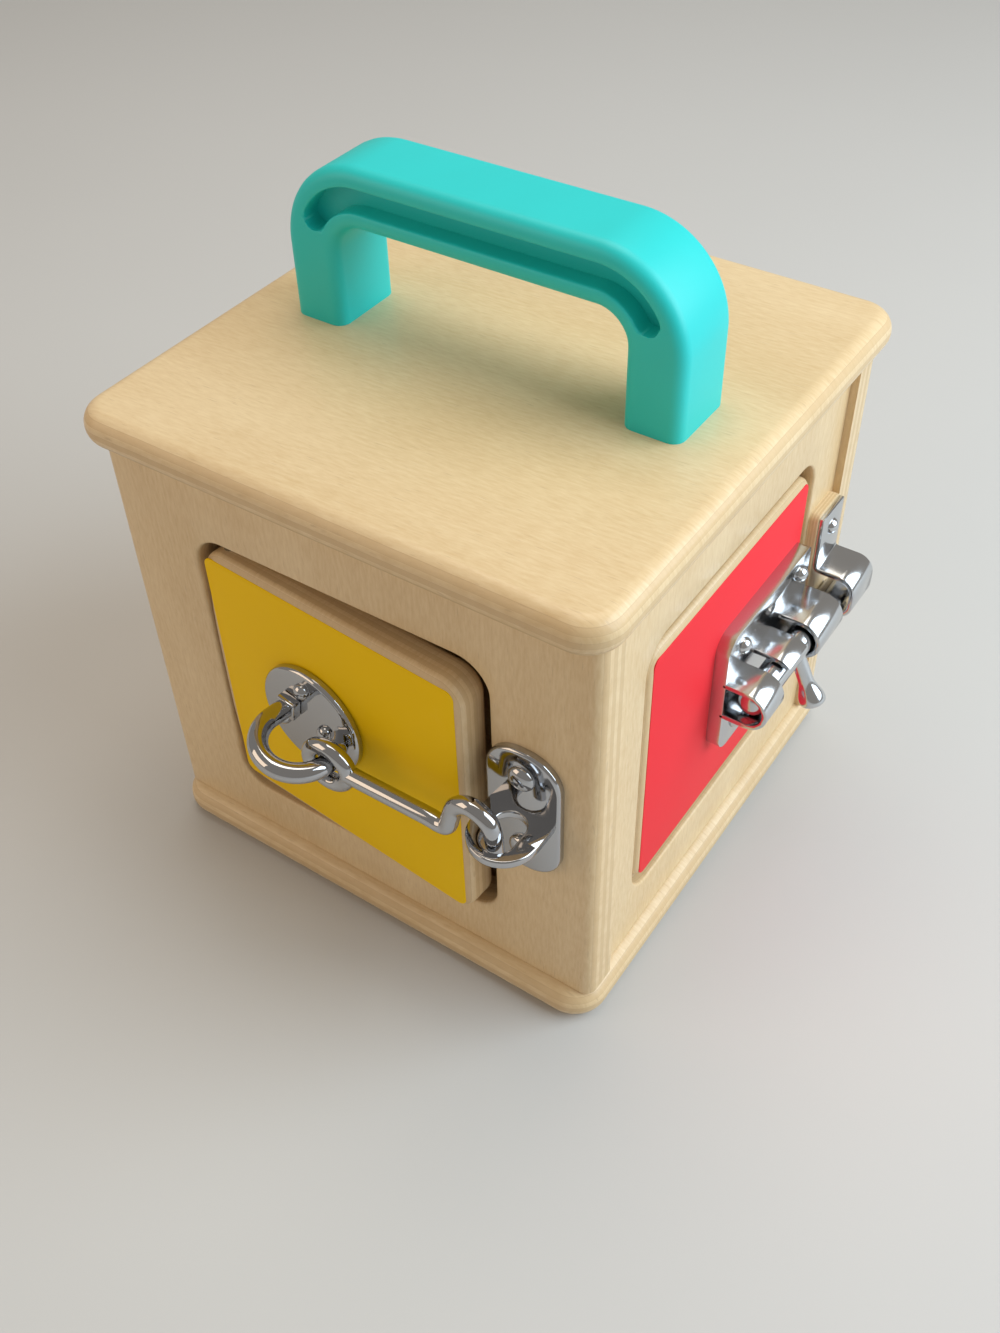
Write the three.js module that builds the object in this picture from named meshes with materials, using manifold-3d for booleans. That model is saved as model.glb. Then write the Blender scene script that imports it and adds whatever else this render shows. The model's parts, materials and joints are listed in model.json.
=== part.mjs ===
// Wooden lock box: a small plywood box with two doors, each kept shut by a different piece of hardware.
// Millimetres, +Z up, origin at the centre of the underside of the base board.
// The front (yellow door, hook latch) faces -Y and the right side (red door, barrel bolt) faces +X.
import * as THREE from 'three';
import { mergeVertices } from 'three/addons/utils/BufferGeometryUtils.js';
import Module from 'manifold-3d';

const wasm = await Module();
wasm.setup();
const radians = THREE.MathUtils.degToRad;

// Carcass boards
const plyThickness = 9.5;
const wallHeight = 117;
const sideRecess = 2;
const lidOverhangSide = 3;
const lidOverhangFront = 5.5;
const baseOverhangSide = 1.5;
const baseOverhangFront = 4;
const boardCornerRadius = 9;
const boardEdgeFlat = 0.3;
const panelCornerRadius = 3;

// Hidden dowels that hold the lid and the base to the front and back panels
const dowelDiameter = 5;
const dowelDepthInBoard = 6;
const dowelDepthInPanel = 11;
const dowelSideInset = 15;

// Doorways and doors
const openingWidth = 82.6;
const frontStile = 25.7;
const sideStile = 13.7;
const openingHeight = 84.5;
const openingSill = 14.3;
const openingCornerRadius = 8.6;
const frontOpeningOffset = -1.6;
const rightOpeningOffset = -0.8;
const hingeGap = 1.2;
const yellowFreeGap = 2.8;
const redFreeGap = 1.2;
const doorTopGap = 3.9;
const doorSillGap = 2.9;
const doorThickness = 9;
const doorCornerRadius = 6.5;
const doorEdgeRound = 2;
const facingThickness = 0.6;
const facingCornerRadius = 2.6;
const yellowHingeInset = 0.9;
const yellowDoorAjar = radians(4.4);

// Hinge pins and door stops
const pinDiameter = 3;
const pinInset = 6;
const pinDepthInDoor = 9;
const pinDepthInRail = 9;
const stopWidth = 9;
const stopDepth = 8;
const stopOverlap = 3;
const stopShortOfOpening = 7;

// Clearances
const seatGap = 0.3;
const boreClearance = 0.3;
const hookTipClearance = 0.6;

// Handle
const handleSpan = 105;
const handleHeight = 40.6;
const handleBar = 14.5;
const handleDepth = 21;
const handleInnerRadius = 7.5;
const handleEdgeRound = 3;
const grooveWidth = 5.8;
const grooveDepth = 5;
const grooveEndAngle = radians(20);
const handleScrewDiameter = 4;
const handleScrewGrip = 15;

// Screws
const screwHeadHeight = 1.6;
const screwGrip = 5;
const screwDiameter = 2.4;
const smallHeadDiameter = 4.4;
const largeHeadDiameter = 6.8;

// Hook latch on the yellow door
const hookPlateDiameter = 30.8;
const hookPlateThickness = 2;
const hookPlateFromPin = 26;
const hookPlateHeight = 68;
const hookScrewOffsets = [[5.2, -0.6], [-0.9, 9.8], [-9.1, -3.5], [0.9, -9.8]];
const stapleWire = 5;
const stapleRadius = 9.4;
const stapleRise = 2.7;
const stapleOffset = 3.8;
const stapleLegSplay = 0.6;
const stapleCentreFromPlate = 7.2;
const stapleTilt = radians(-9);
const stapleShoulder = 5.2;
const stapleShoulderHeight = 2.4;
const hookEyeWire = 4.2;
const hookEyeHole = 7;
const hookEyeShift = 0.35;
const hookEyeDrop = 0.35;
const hookWire = 4.4;
const hookNeckDip = 0.3;
const hookNeckRise = 11;
const hookNeckRun = 14.3;
const hookTipBelowTab = 1.4;

// Eye plate on the front panel
const eyePlateWidth = 19.5;
const eyePlateHeight = 38.5;
const eyePlateThickness = 2;
const eyePlateFromOpening = 9.3;
const eyePlateAboveHookPlate = 2.7;
const eyeTabAboveCentre = 0.8;
const eyeTabThickness = 2.2;
const eyeTabRim = 2.4;
const tabSlotWidth = 7.8;
const eyeScrewSpacing = 23;

// Barrel bolt on the red door
const boltPlateLength = 44;
const boltPlateHeight = 37.5;
const boltPlateThickness = 3.3;
const boltPlateFreeRadius = 1.5;
const boltPlateHingeRadius = 5;
const boltPlateFromFreeEdge = 3;
const boltHeight = 65.8;
const boltAxisFromDoor = 9.2;
const boltRodDiameter = 7.4;
const boltBoreClearance = 0.7;
const boltCollarHalfHeight = 5.8;
const boltCollarWidth = 9.8;
const boltNotchWidth = 5.2;
const boltEndCollarWidth = 12;
const boltSeamWidth = 1;
const boltSlotRise = 4;
const boltRodSetback = 1.5;
const boltRodInKeeper = 8.5;
const boltScrewSpacingHigh = 25.4;
const boltScrewFromHingeEnd = 8;
const boltScrewFromFreeEnd = 4.8;
const knobStemDiameter = 4;
const knobEndDiameter = 7;
const knobLength = 18.5;
const knobFlareLength = 8;
const knobHang = radians(-65);

// Keeper on the right panel
const keeperBlockThickness = 2.6;
const keeperBlockFromOpening = 0.5;
const keeperBlockWidth = 13.2;
const keeperBlockHeight = 47.5;
const keeperHeight = 46;
const keeperWidth = 12.2;
const keeperSheet = 1.6;
const keeperFlange = 1.2;
const keeperHalfHeight = 6.6;
const keeperLoopRise = 0.75;
const keeperReach = 15.2;
const keeperCornerRadius = 4.8;
const keeperScrewSpacing = 35;

// Facets
const arcSteps = 5;
const roundSteps = 3;
const screwSides = 12;
const pinSides = 12;
const rodSides = 20;
const plateSides = 32;
const wireSides = 10;

// Places worked out from the sizes above
const halfWidth = openingWidth / 2 + frontStile;
const halfDepth = openingWidth / 2 + sideStile + plyThickness;
const floorTop = plyThickness;
const wallTop = floorTop + wallHeight;
const lidTop = wallTop + plyThickness;
const sideOuter = halfWidth - sideRecess;
const sideInner = sideOuter - plyThickness;
const frontInner = plyThickness - halfDepth;
const sillTop = floorTop + openingSill;
const openingTop = sillTop + openingHeight;
const doorBottom = sillTop + doorSillGap;
const doorTop = openingTop - doorTopGap;
const frontOpening = [frontOpeningOffset - openingWidth / 2, frontOpeningOffset + openingWidth / 2];
const rightOpening = [rightOpeningOffset - openingWidth / 2, rightOpeningOffset + openingWidth / 2];
const yellowPin = new THREE.Vector2(frontOpening[0] + hingeGap + pinInset, doorThickness / 2 - halfDepth);
const redPin = new THREE.Vector2(sideOuter - doorThickness / 2, rightOpening[0] + hingeGap + pinInset);

// Finishes
function finish(color, roughness, metalness) {
  return new THREE.MeshStandardMaterial({ color, roughness, metalness });
}
const birch = finish(0xe3c48f, 0.55, 0);
const dowelWood = finish(0xd2b486, 0.7, 0);
const yellow = finish(0xf0bd00, 0.35, 0);
const red = finish(0xee3038, 0.35, 0);
const teal = finish(0x35cdb4, 0.4, 0);
const chrome = finish(0xd9dcdf, 0.12, 1);
const steel = finish(0xb8bcc0, 0.3, 1);

// Turns a closed geometry into a solid that can be joined and cut
function solid(geometry) {
  const bare = geometry.clone();
  bare.deleteAttribute('normal');
  bare.deleteAttribute('uv');
  const merged = mergeVertices(bare, 1e-4);
  const corners = merged.index.array;
  const kept = [];
  for (let i = 0; i < corners.length; i += 3) {
    const [a, b, c] = corners.slice(i, i + 3);
    if (a !== b && b !== c && c !== a) {
      kept.push(a, b, c);
    }
  }
  return new wasm.Manifold(new wasm.Mesh({
    numProp: 3,
    vertProperties: new Float32Array(merged.attributes.position.array),
    triVerts: new Uint32Array(kept),
  }));
}

function asSolid(shape) {
  return shape.isBufferGeometry ? solid(shape) : shape;
}

function join(first, ...others) {
  return others.reduce((whole, other) => whole.add(asSolid(other)), asSolid(first));
}

function cut(body, ...tools) {
  return tools.reduce((rest, tool) => rest.subtract(asSolid(tool)), asSolid(body));
}

function piece(name, body, material) {
  const { vertProperties, triVerts } = asSolid(body).getMesh();
  const geometry = new THREE.BufferGeometry();
  geometry.setAttribute('position', new THREE.BufferAttribute(new Float32Array(vertProperties), 3));
  geometry.setIndex(new THREE.BufferAttribute(new Uint32Array(triVerts), 1));
  geometry.computeVertexNormals();
  const mesh = new THREE.Mesh(geometry, material);
  mesh.name = name;
  return mesh;
}

// A box between two opposite corners
function block([x0, y0, z0], [x1, y1, z1]) {
  const geometry = new THREE.BoxGeometry(x1 - x0, y1 - y0, z1 - z0);
  return geometry.translate((x0 + x1) / 2, (y0 + y1) / 2, (z0 + z1) / 2);
}

// A round bar whose length runs along +Z from the point given
function bar(diameter, [x, y, z], length, sides) {
  const geometry = new THREE.CylinderGeometry(diameter / 2, diameter / 2, length, sides);
  return geometry.rotateX(Math.PI / 2).translate(x, y, z + length / 2);
}

// A rectangle with its own radius at each corner: lower left, lower right, upper right, upper left
function roundedRectangle([left, bottom], [right, top], radii) {
  const [lowerLeft, lowerRight, upperRight, upperLeft] = radii;
  const shape = new THREE.Shape();
  shape.absarc(right - lowerRight, bottom + lowerRight, lowerRight, -Math.PI / 2, 0);
  shape.absarc(right - upperRight, top - upperRight, upperRight, 0, Math.PI / 2);
  shape.absarc(left + upperLeft, top - upperLeft, upperLeft, Math.PI / 2, Math.PI);
  shape.absarc(left + lowerLeft, bottom + lowerLeft, lowerLeft, Math.PI, 1.5 * Math.PI);
  shape.closePath();
  return shape;
}

function evenRectangle(low, high, radius) {
  return roundedRectangle(low, high, [radius, radius, radius, radius]);
}

function disc(x, y, radius, sides) {
  const points = [];
  for (let i = 0; i < sides; i += 1) {
    const angle = (i / sides) * 2 * Math.PI;
    points.push(new THREE.Vector2(x + radius * Math.cos(angle), y + radius * Math.sin(angle)));
  }
  return new THREE.Shape(points);
}

// A slab of a flat outline, from z = `from` through its thickness, with its edges rounded on both faces
function slab(outline, from, thickness, edgeRound = 0) {
  const geometry = new THREE.ExtrudeGeometry(outline, {
    depth: thickness - 2 * edgeRound,
    curveSegments: arcSteps,
    bevelEnabled: edgeRound > 0,
    bevelThickness: edgeRound,
    bevelSize: edgeRound,
    bevelOffset: -edgeRound,
    bevelSegments: roundSteps,
  });
  return geometry.translate(0, 0, from + edgeRound);
}

function wireAlong(points, diameter, steps) {
  const curve = new THREE.CatmullRomCurve3(points, false, 'centripetal');
  const section = disc(0, 0, diameter / 2, wireSides);
  const options = { steps, extrudePath: curve, bevelEnabled: false };
  return new THREE.ExtrudeGeometry(section, options);
}

// A solid turned about an axis along +Y, from a list of radius and height pairs
function turned(profile, sides) {
  return new THREE.LatheGeometry(profile.map(([r, h]) => new THREE.Vector2(r, h)), sides);
}

function domeProfile(radius, height, base) {
  const profile = [];
  for (let i = 0; i < roundSteps; i += 1) {
    const angle = (i / roundSteps) * (Math.PI / 2);
    profile.push([radius * Math.cos(angle), base + height * Math.sin(angle)]);
  }
  profile.push([0, base + height]);
  return profile;
}

// A group whose own X runs along a wall, Y runs up and Z points out of the wall
function wallFrame(x, y, turn) {
  const place = new THREE.Group();
  place.position.set(x, y, 0);
  place.rotation.z = turn;
  const face = new THREE.Group();
  face.rotation.x = Math.PI / 2;
  place.add(face);
  lockBox.add(place);
  return face;
}

// A dome-headed screw standing out of a wall, its head just clear of the face at height `seat`
function domedScrew(headDiameter, [u, v], seat, shankLength) {
  const shank = screwDiameter / 2;
  const profile = [[0, seat - shankLength], [shank, seat - shankLength], [shank, seat + seatGap]];
  profile.push(...domeProfile(headDiameter / 2, screwHeadHeight, seat + seatGap));
  return turned(profile, screwSides).rotateX(Math.PI / 2).translate(u, v, 0);
}

function screwBore([u, v], seat, shankLength) {
  const bore = screwDiameter + 2 * boreClearance;
  return bar(bore, [u, v, seat - shankLength - seatGap], shankLength + 2 * seatGap, screwSides);
}

const lockBox = new THREE.Group();

// Dowels between the end boards and the front and back panels
const dowelX = halfWidth - dowelSideInset;
const dowelY = halfDepth - plyThickness / 2;
const dowelPlaces = [[-dowelX, -dowelY], [dowelX, -dowelY], [-dowelX, dowelY], [dowelX, dowelY]];
const dowelLength = dowelDepthInBoard + dowelDepthInPanel;
const dowelBottoms = { base: floorTop - dowelDepthInBoard, lid: wallTop - dowelDepthInPanel };

function dowelBores(bottom) {
  const bore = dowelDiameter + 2 * boreClearance;
  const depth = dowelLength + 2 * seatGap;
  return dowelPlaces.map(([x, y]) => bar(bore, [x, y, bottom - seatGap], depth, pinSides));
}

const allDowelBores = Object.values(dowelBottoms).flatMap(dowelBores);
for (const [board, bottom] of Object.entries(dowelBottoms)) {
  dowelPlaces.forEach(([x, y], i) => {
    const dowel = bar(dowelDiameter, [x, y, bottom], dowelLength, pinSides);
    lockBox.add(piece(`${board}_dowel_${i + 1}`, dowel, dowelWood));
  });
}

// Lid and base: plywood boards with bullnosed edges and rounded plan corners
function bullnosedBoard(overhangSide, overhangFront, bottom) {
  const x = halfWidth + overhangSide;
  const y = halfDepth + overhangFront;
  const outline = evenRectangle([-x, -y], [x, y], boardCornerRadius);
  return slab(outline, bottom, plyThickness, (plyThickness - boardEdgeFlat) / 2);
}

const footX = (handleSpan - handleBar) / 2;
const footPlaces = { left: -footX, right: footX };
const handleScrewBottom = wallTop - screwHeadHeight - seatGap;
const handleScrewLength = lidTop + handleScrewGrip - handleScrewBottom;
const handleScrewBores = Object.values(footPlaces).map((x) => {
  const bore = handleScrewDiameter + 2 * boreClearance;
  return bar(bore, [x, 0, handleScrewBottom], handleScrewLength + seatGap, screwSides);
});
const baseBoard = bullnosedBoard(baseOverhangSide, baseOverhangFront, 0);
const lidBoard = bullnosedBoard(lidOverhangSide, lidOverhangFront, wallTop);
lockBox.add(piece('base_board', cut(baseBoard, ...allDowelBores), birch));
lockBox.add(piece('lid_board', cut(lidBoard, ...allDowelBores, ...handleScrewBores), birch));

// Carrying handle: a moulded bow with a long groove round each side, screwed on from inside the lid
const bendX = handleSpan / 2 - handleBar - handleInnerRadius;
const bendZ = lidTop + handleHeight - handleBar - handleInnerRadius;

function bowOutline() {
  const outer = handleSpan / 2;
  const inner = outer - handleBar;
  const foot = lidTop - 2 * handleEdgeRound;
  const bow = new THREE.Shape();
  bow.moveTo(inner, foot);
  bow.lineTo(outer, foot);
  bow.absarc(bendX, bendZ, handleInnerRadius + handleBar, 0, Math.PI / 2);
  bow.absarc(-bendX, bendZ, handleInnerRadius + handleBar, Math.PI / 2, Math.PI);
  bow.lineTo(-outer, foot);
  bow.lineTo(-inner, foot);
  bow.absarc(-bendX, bendZ, handleInnerRadius, Math.PI, Math.PI / 2, true);
  bow.absarc(bendX, bendZ, handleInnerRadius, Math.PI / 2, 0, true);
  bow.closePath();
  return bow;
}

function grooveOutline() {
  const middle = handleInnerRadius + handleBar / 2;
  const half = grooveWidth / 2;
  const start = grooveEndAngle;
  const end = Math.PI - start;
  const capX = bendX + middle * Math.cos(start);
  const capZ = bendZ + middle * Math.sin(start);
  const groove = new THREE.Shape();
  groove.absarc(bendX, bendZ, middle + half, start, Math.PI / 2);
  groove.absarc(-bendX, bendZ, middle + half, Math.PI / 2, end);
  groove.absarc(-capX, capZ, half, end, end + Math.PI);
  groove.absarc(-bendX, bendZ, middle - half, end, Math.PI / 2, true);
  groove.absarc(bendX, bendZ, middle - half, Math.PI / 2, start, true);
  groove.absarc(capX, capZ, half, start + Math.PI, start + 2 * Math.PI);
  groove.closePath();
  return groove;
}

function acrossBow(outline, middle, thickness, edgeRound) {
  return slab(outline, middle - thickness / 2, thickness, edgeRound).rotateX(Math.PI / 2);
}

const handle = cut(
  acrossBow(bowOutline(), 0, handleDepth, handleEdgeRound),
  block([-handleSpan, -handleDepth, wallTop], [handleSpan, handleDepth, lidTop]),
  acrossBow(grooveOutline(), handleDepth / 2, 2 * grooveDepth),
  acrossBow(grooveOutline(), -handleDepth / 2, 2 * grooveDepth),
  ...handleScrewBores);
lockBox.add(piece('handle', handle, teal));
for (const [side, x] of Object.entries(footPlaces)) {
  const screw = join(
    bar(largeHeadDiameter, [x, 0, handleScrewBottom], screwHeadHeight, screwSides),
    bar(handleScrewDiameter, [x, 0, handleScrewBottom], handleScrewLength, screwSides));
  lockBox.add(piece(`handle_screw_${side}`, screw, steel));
}

// Front and back panels run the full width; their outer upright corners are rounded
function fullPanel() {
  const low = [-halfWidth, halfDepth - plyThickness];
  const high = [halfWidth, halfDepth];
  const plan = roundedRectangle(low, high, [0, 0, panelCornerRadius, panelCornerRadius]);
  return slab(plan, floorTop, wallHeight);
}

// Upright pins at the hinge edge of each door, one in the rail above and one in the rail below
const pinSpans = {
  bottom: [sillTop - pinDepthInRail, doorBottom + pinDepthInDoor],
  top: [doorTop - pinDepthInDoor, openingTop + pinDepthInRail],
};

function pinBores(pin) {
  const bore = pinDiameter + 2 * boreClearance;
  return Object.values(pinSpans).map(
    ([bottom, top]) => bar(bore, [pin.x, pin.y, bottom - seatGap], top - bottom + 2 * seatGap, pinSides));
}

for (const [door, pin] of [['yellow', yellowPin], ['red', redPin]]) {
  for (const [end, [bottom, top]] of Object.entries(pinSpans)) {
    const body = bar(pinDiameter, [pin.x, pin.y, bottom], top - bottom, pinSides);
    lockBox.add(piece(`${door}_hinge_pin_${end}`, body, steel));
  }
}

// Turns a solid drawn against a wall (X along it, Y up, Z out of it) to stand on the front or the right side
function onFront(geometry) {
  return geometry.clone().rotateX(Math.PI / 2).translate(0, -halfDepth, 0);
}

function onRight(geometry) {
  return geometry.clone().rotateX(Math.PI / 2).rotateZ(Math.PI / 2).translate(sideOuter, 0, 0);
}

function doorway([near, far]) {
  const outline = evenRectangle([near, sillTop], [far, openingTop], openingCornerRadius);
  return slab(outline, -2 * plyThickness, 3 * plyThickness);
}

// Eye plate: a rounded plate with a half-round tab whose slot lets the hooked door move from shut to ajar
const eyePlateX = frontOpening[1] + eyePlateFromOpening;
const eyePlateCentreHeight = hookPlateHeight + eyePlateAboveHookPlate;
const eyeTabTop = eyePlateCentreHeight + eyeTabAboveCentre;
const eyeScrewPlaces = {
  top: [eyePlateX, eyePlateCentreHeight + eyeScrewSpacing / 2],
  bottom: [eyePlateX, eyePlateCentreHeight - eyeScrewSpacing / 2],
};
const eyeScrewShank = eyePlateThickness + screwGrip;
const eyeScrewBores = Object.values(eyeScrewPlaces).map(
  (place) => screwBore(place, eyePlateThickness, eyeScrewShank));
const frontPanel = cut(
  fullPanel().rotateZ(Math.PI), onFront(doorway(frontOpening)), ...pinBores(yellowPin), ...allDowelBores,
  ...eyeScrewBores.map(onFront));
lockBox.add(piece('front_panel', frontPanel, birch));
lockBox.add(piece('back_panel', cut(fullPanel(), ...allDowelBores), birch));

// Side panels stand between the front and back panels, set in from their ends
const leftPanel = block([-sideOuter, frontInner, floorTop], [-sideInner, -frontInner, wallTop]);
lockBox.add(piece('left_panel', leftPanel, birch));
const keeperX = rightOpening[1] + keeperBlockFromOpening + keeperBlockWidth / 2;
const keeperScrewPlaces = {
  top: [keeperX, boltHeight + keeperScrewSpacing / 2],
  bottom: [keeperX, boltHeight - keeperScrewSpacing / 2],
};
const keeperSeat = keeperBlockThickness + keeperFlange;
const keeperScrewBores = Object.values(keeperScrewPlaces).map(
  (place) => screwBore(place, keeperSeat, keeperSeat + screwGrip));
const rightPanel = cut(
  block([sideInner, frontInner, floorTop], [sideOuter, -frontInner, wallTop]),
  onRight(doorway(rightOpening)), ...pinBores(redPin), ...keeperScrewBores.map(onRight));
lockBox.add(piece('right_panel', rightPanel, birch));

// Door stops: battens inside, behind the free edge of each door
const stopBottom = sillTop + stopShortOfOpening;
const stopTop = openingTop - stopShortOfOpening;

function doorStop([, far]) {
  const start = far - stopOverlap;
  return block([start, stopBottom, -plyThickness - stopDepth], [start + stopWidth, stopTop, -plyThickness]);
}

lockBox.add(piece('yellow_door_stop', onFront(doorStop(frontOpening)), birch));
lockBox.add(piece('red_door_stop', onRight(doorStop(rightOpening)), birch));

// A door leaf and its coloured facing, in a frame with the hinge pin on its Y axis
const doorFace = doorThickness / 2;
const leafFace = doorFace - facingThickness - seatGap;
const leafLeft = -pinInset;
const yellowRight = leafLeft + openingWidth - hingeGap - yellowFreeGap;
const redRight = leafLeft + openingWidth - hingeGap - redFreeGap;

function doorLeaf(leafRight, bores, squareFrom) {
  const outline = evenRectangle([leafLeft, doorBottom], [leafRight, doorTop], doorCornerRadius);
  const leaf = slab(outline, -doorFace, leafFace + doorFace, doorEdgeRound);
  const hingeEdge = block(
    [leafLeft + squareFrom, doorBottom + doorCornerRadius, -doorFace + doorEdgeRound],
    [leafLeft + doorCornerRadius, doorTop - doorCornerRadius, leafFace]);
  const origin = new THREE.Vector2();
  return cut(join(leaf, hingeEdge), ...pinBores(origin).map((bore) => bore.rotateX(-Math.PI / 2)), ...bores);
}

function doorFacing(leafRight, bores, hingeInset) {
  const inset = doorEdgeRound;
  const outline = evenRectangle(
    [leafLeft + hingeInset, doorBottom + inset], [leafRight - inset, doorTop - inset], facingCornerRadius);
  return cut(slab(outline, leafFace + seatGap, facingThickness), ...bores);
}

// Yellow door, standing a little open on its hook
const yellowFace = wallFrame(yellowPin.x, yellowPin.y, -yellowDoorAjar);
const hookPlateSeat = doorFace + seatGap;
const hookPlateFace = hookPlateSeat + hookPlateThickness;
const hookScrewShank = hookPlateThickness + seatGap + screwGrip;
const hookScrewPlaces = hookScrewOffsets.map(
  ([across, up]) => [hookPlateFromPin + across, hookPlateHeight + up]);
const hookScrewBores = hookScrewPlaces.map((place) => screwBore(place, hookPlateFace, hookScrewShank));
yellowFace.add(piece('yellow_door', doorLeaf(yellowRight, hookScrewBores, yellowHingeInset / 2), birch));
yellowFace.add(piece('yellow_facing', doorFacing(yellowRight, hookScrewBores, yellowHingeInset), yellow));

// Round plate of the hook latch, screwed to the door, with a wire staple standing on it
const hookPlateOutline = disc(hookPlateFromPin, hookPlateHeight, hookPlateDiameter / 2, plateSides);
const hookPlate = slab(hookPlateOutline, hookPlateSeat, hookPlateThickness, hookPlateThickness / 3);
yellowFace.add(piece('hook_plate', cut(hookPlate, ...hookScrewBores), chrome));
hookScrewPlaces.forEach((place, i) => {
  const screw = domedScrew(smallHeadDiameter, place, hookPlateFace, hookScrewShank);
  yellowFace.add(piece(`hook_plate_screw_${i + 1}`, screw, chrome));
});

// The staple's arc, drawn from the plate's own axis: across the plate, and out from its face
const stapleSink = Math.asin(stapleCentreFromPlate / stapleRadius);

function staplePlace(across, out) {
  return new THREE.Vector3(
    hookPlateFromPin + across * Math.cos(stapleTilt),
    hookPlateHeight + stapleRise + across * Math.sin(stapleTilt),
    hookPlateFace + out);
}

function staplePoint(angle) {
  return staplePlace(
    stapleOffset + stapleRadius * Math.cos(angle), stapleCentreFromPlate + stapleRadius * Math.sin(angle));
}

function stapleBody() {
  const count = 3 * arcSteps;
  const points = [];
  for (let i = 0; i <= count; i += 1) {
    points.push(staplePoint(-stapleSink + (i / count) * (Math.PI + stapleSink)));
  }
  const leg = staplePlace(stapleOffset - stapleRadius + stapleLegSplay, 0);
  const wire = wireAlong([...points, leg], stapleWire, 2 * count);
  const half = stapleShoulder / 2;
  const shoulder = block(
    [leg.x - half, leg.y - half, hookPlateFace],
    [leg.x + half, leg.y + half, hookPlateFace + seatGap + stapleShoulderHeight]);
  const reach = hookPlateDiameter;
  const plateSide = block(
    [hookPlateFromPin - reach, hookPlateHeight - reach, hookPlateSeat - reach],
    [hookPlateFromPin + reach, hookPlateHeight + reach, hookPlateFace + seatGap]);
  return cut(join(wire, shoulder), plateSide);
}

yellowFace.add(piece('hook_staple', stapleBody(), chrome));

// Hook: an eye on the staple, a straight shank, a raised neck and a tip that points down into the tab
const hookSide = staplePoint(0);
const hookEye = hookSide.clone().add(new THREE.Vector3(hookEyeShift, -hookEyeDrop, 0));
const hookX = yellowPin.x + hookEye.x * Math.cos(yellowDoorAjar) - hookEye.z * Math.sin(yellowDoorAjar);
const hookY = yellowPin.y - hookEye.x * Math.sin(yellowDoorAjar) - hookEye.z * Math.cos(yellowDoorAjar);
const hookReach = eyePlateX - hookX;
const hookTipEnd = eyeTabTop - eyeTabThickness - hookTipBelowTab - hookEye.y;
const hookEyeRadius = (hookEyeHole + hookEyeWire) / 2;

function hookBody() {
  const neck = hookReach - hookNeckRun;
  const tip = hookReach;
  const crown = hookNeckRise;
  const points = [
    [hookEyeRadius, 0], [neck / 2, 0], [neck - 4, 0], [neck - 0.6, -hookNeckDip], [neck + 1.6, 0.5],
    [neck + 2.8, crown * 0.42], [neck + 4.2, crown * 0.78], [neck + 7.8, crown], [tip - 2.4, crown * 0.88],
    [tip - 0.5, crown * 0.58], [tip, hookTipEnd],
  ].map(([along, up]) => new THREE.Vector3(along, up, 0));
  const eye = new THREE.TorusGeometry(hookEyeRadius, hookEyeWire / 2, wireSides, 4 * arcSteps);
  return join(eye, wireAlong(points, hookWire, 8 * arcSteps));
}

const hookFrame = new THREE.Group();
hookFrame.position.copy(hookEye);
hookFrame.rotation.y = yellowDoorAjar;
hookFrame.add(piece('hook', hookBody(), chrome));
yellowFace.add(hookFrame);

// The slot is long enough for the tip to stand at its outer end when ajar and at its inner end when shut
const frontFace = wallFrame(0, -halfDepth, 0);
const tipTravel = (eyePlateX - yellowPin.x) * Math.sin(yellowDoorAjar);
const tabSlotHalf = tipTravel / 2 + hookWire / 2 + hookTipClearance;
const tabRadius = tabSlotHalf + eyeTabRim;
const tabCentre = -halfDepth - hookY - tipTravel / 2;

function eyePlateBody() {
  const low = [eyePlateX - eyePlateWidth / 2, eyePlateCentreHeight - eyePlateHeight / 2];
  const high = [eyePlateX + eyePlateWidth / 2, eyePlateCentreHeight + eyePlateHeight / 2];
  const outline = evenRectangle(low, high, eyePlateWidth / 2 - 1);
  const tabOutline = new THREE.Shape();
  tabOutline.moveTo(tabRadius, -eyePlateThickness / 2);
  tabOutline.lineTo(-tabRadius, -eyePlateThickness / 2);
  tabOutline.absarc(0, -tabCentre, tabRadius, Math.PI, 2 * Math.PI);
  tabOutline.closePath();
  tabOutline.holes.push(evenRectangle(
    [-tabSlotWidth / 2, -tabCentre - tabSlotHalf], [tabSlotWidth / 2, -tabCentre + tabSlotHalf],
    tabSlotWidth / 2));
  const tab = slab(tabOutline, 0, eyeTabThickness).rotateX(-Math.PI / 2);
  const plate = slab(outline, 0, eyePlateThickness, eyePlateThickness / 3);
  return cut(join(plate, tab.translate(eyePlateX, eyeTabTop - eyeTabThickness, 0)), ...eyeScrewBores);
}

frontFace.add(piece('eye_plate', eyePlateBody(), chrome));
for (const [end, place] of Object.entries(eyeScrewPlaces)) {
  const screw = domedScrew(largeHeadDiameter, place, eyePlateThickness, eyeScrewShank);
  frontFace.add(piece(`eye_plate_screw_${end}`, screw, chrome));
}

// Red door, shut, with the barrel bolt on its free side
const redFace = wallFrame(redPin.x, redPin.y, Math.PI / 2);
const boltSeat = doorFace + seatGap;
const boltFace = boltSeat + boltPlateThickness;
const boltAxis = doorFace + boltAxisFromDoor;
const boltRight = redRight - boltPlateFromFreeEdge;
const boltLeft = boltRight - boltPlateLength;
const boltScrewColumns = [boltLeft + boltScrewFromHingeEnd, boltRight - boltScrewFromFreeEnd];
const boltScrewRows = [boltHeight + boltScrewSpacingHigh / 2, boltHeight - boltScrewSpacingHigh / 2];
const boltScrewPlaces = boltScrewRows.flatMap((v) => boltScrewColumns.map((u) => [u, v]));
const boltScrewShank = boltPlateThickness + seatGap + screwGrip;
const boltScrewBores = boltScrewPlaces.map((place) => screwBore(place, boltFace, boltScrewShank));
const spareBores = boltScrewRows.map((v) => screwBore(
  [(boltScrewColumns[0] + boltScrewColumns[1]) / 2, v], boltFace, boltPlateThickness));
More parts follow.
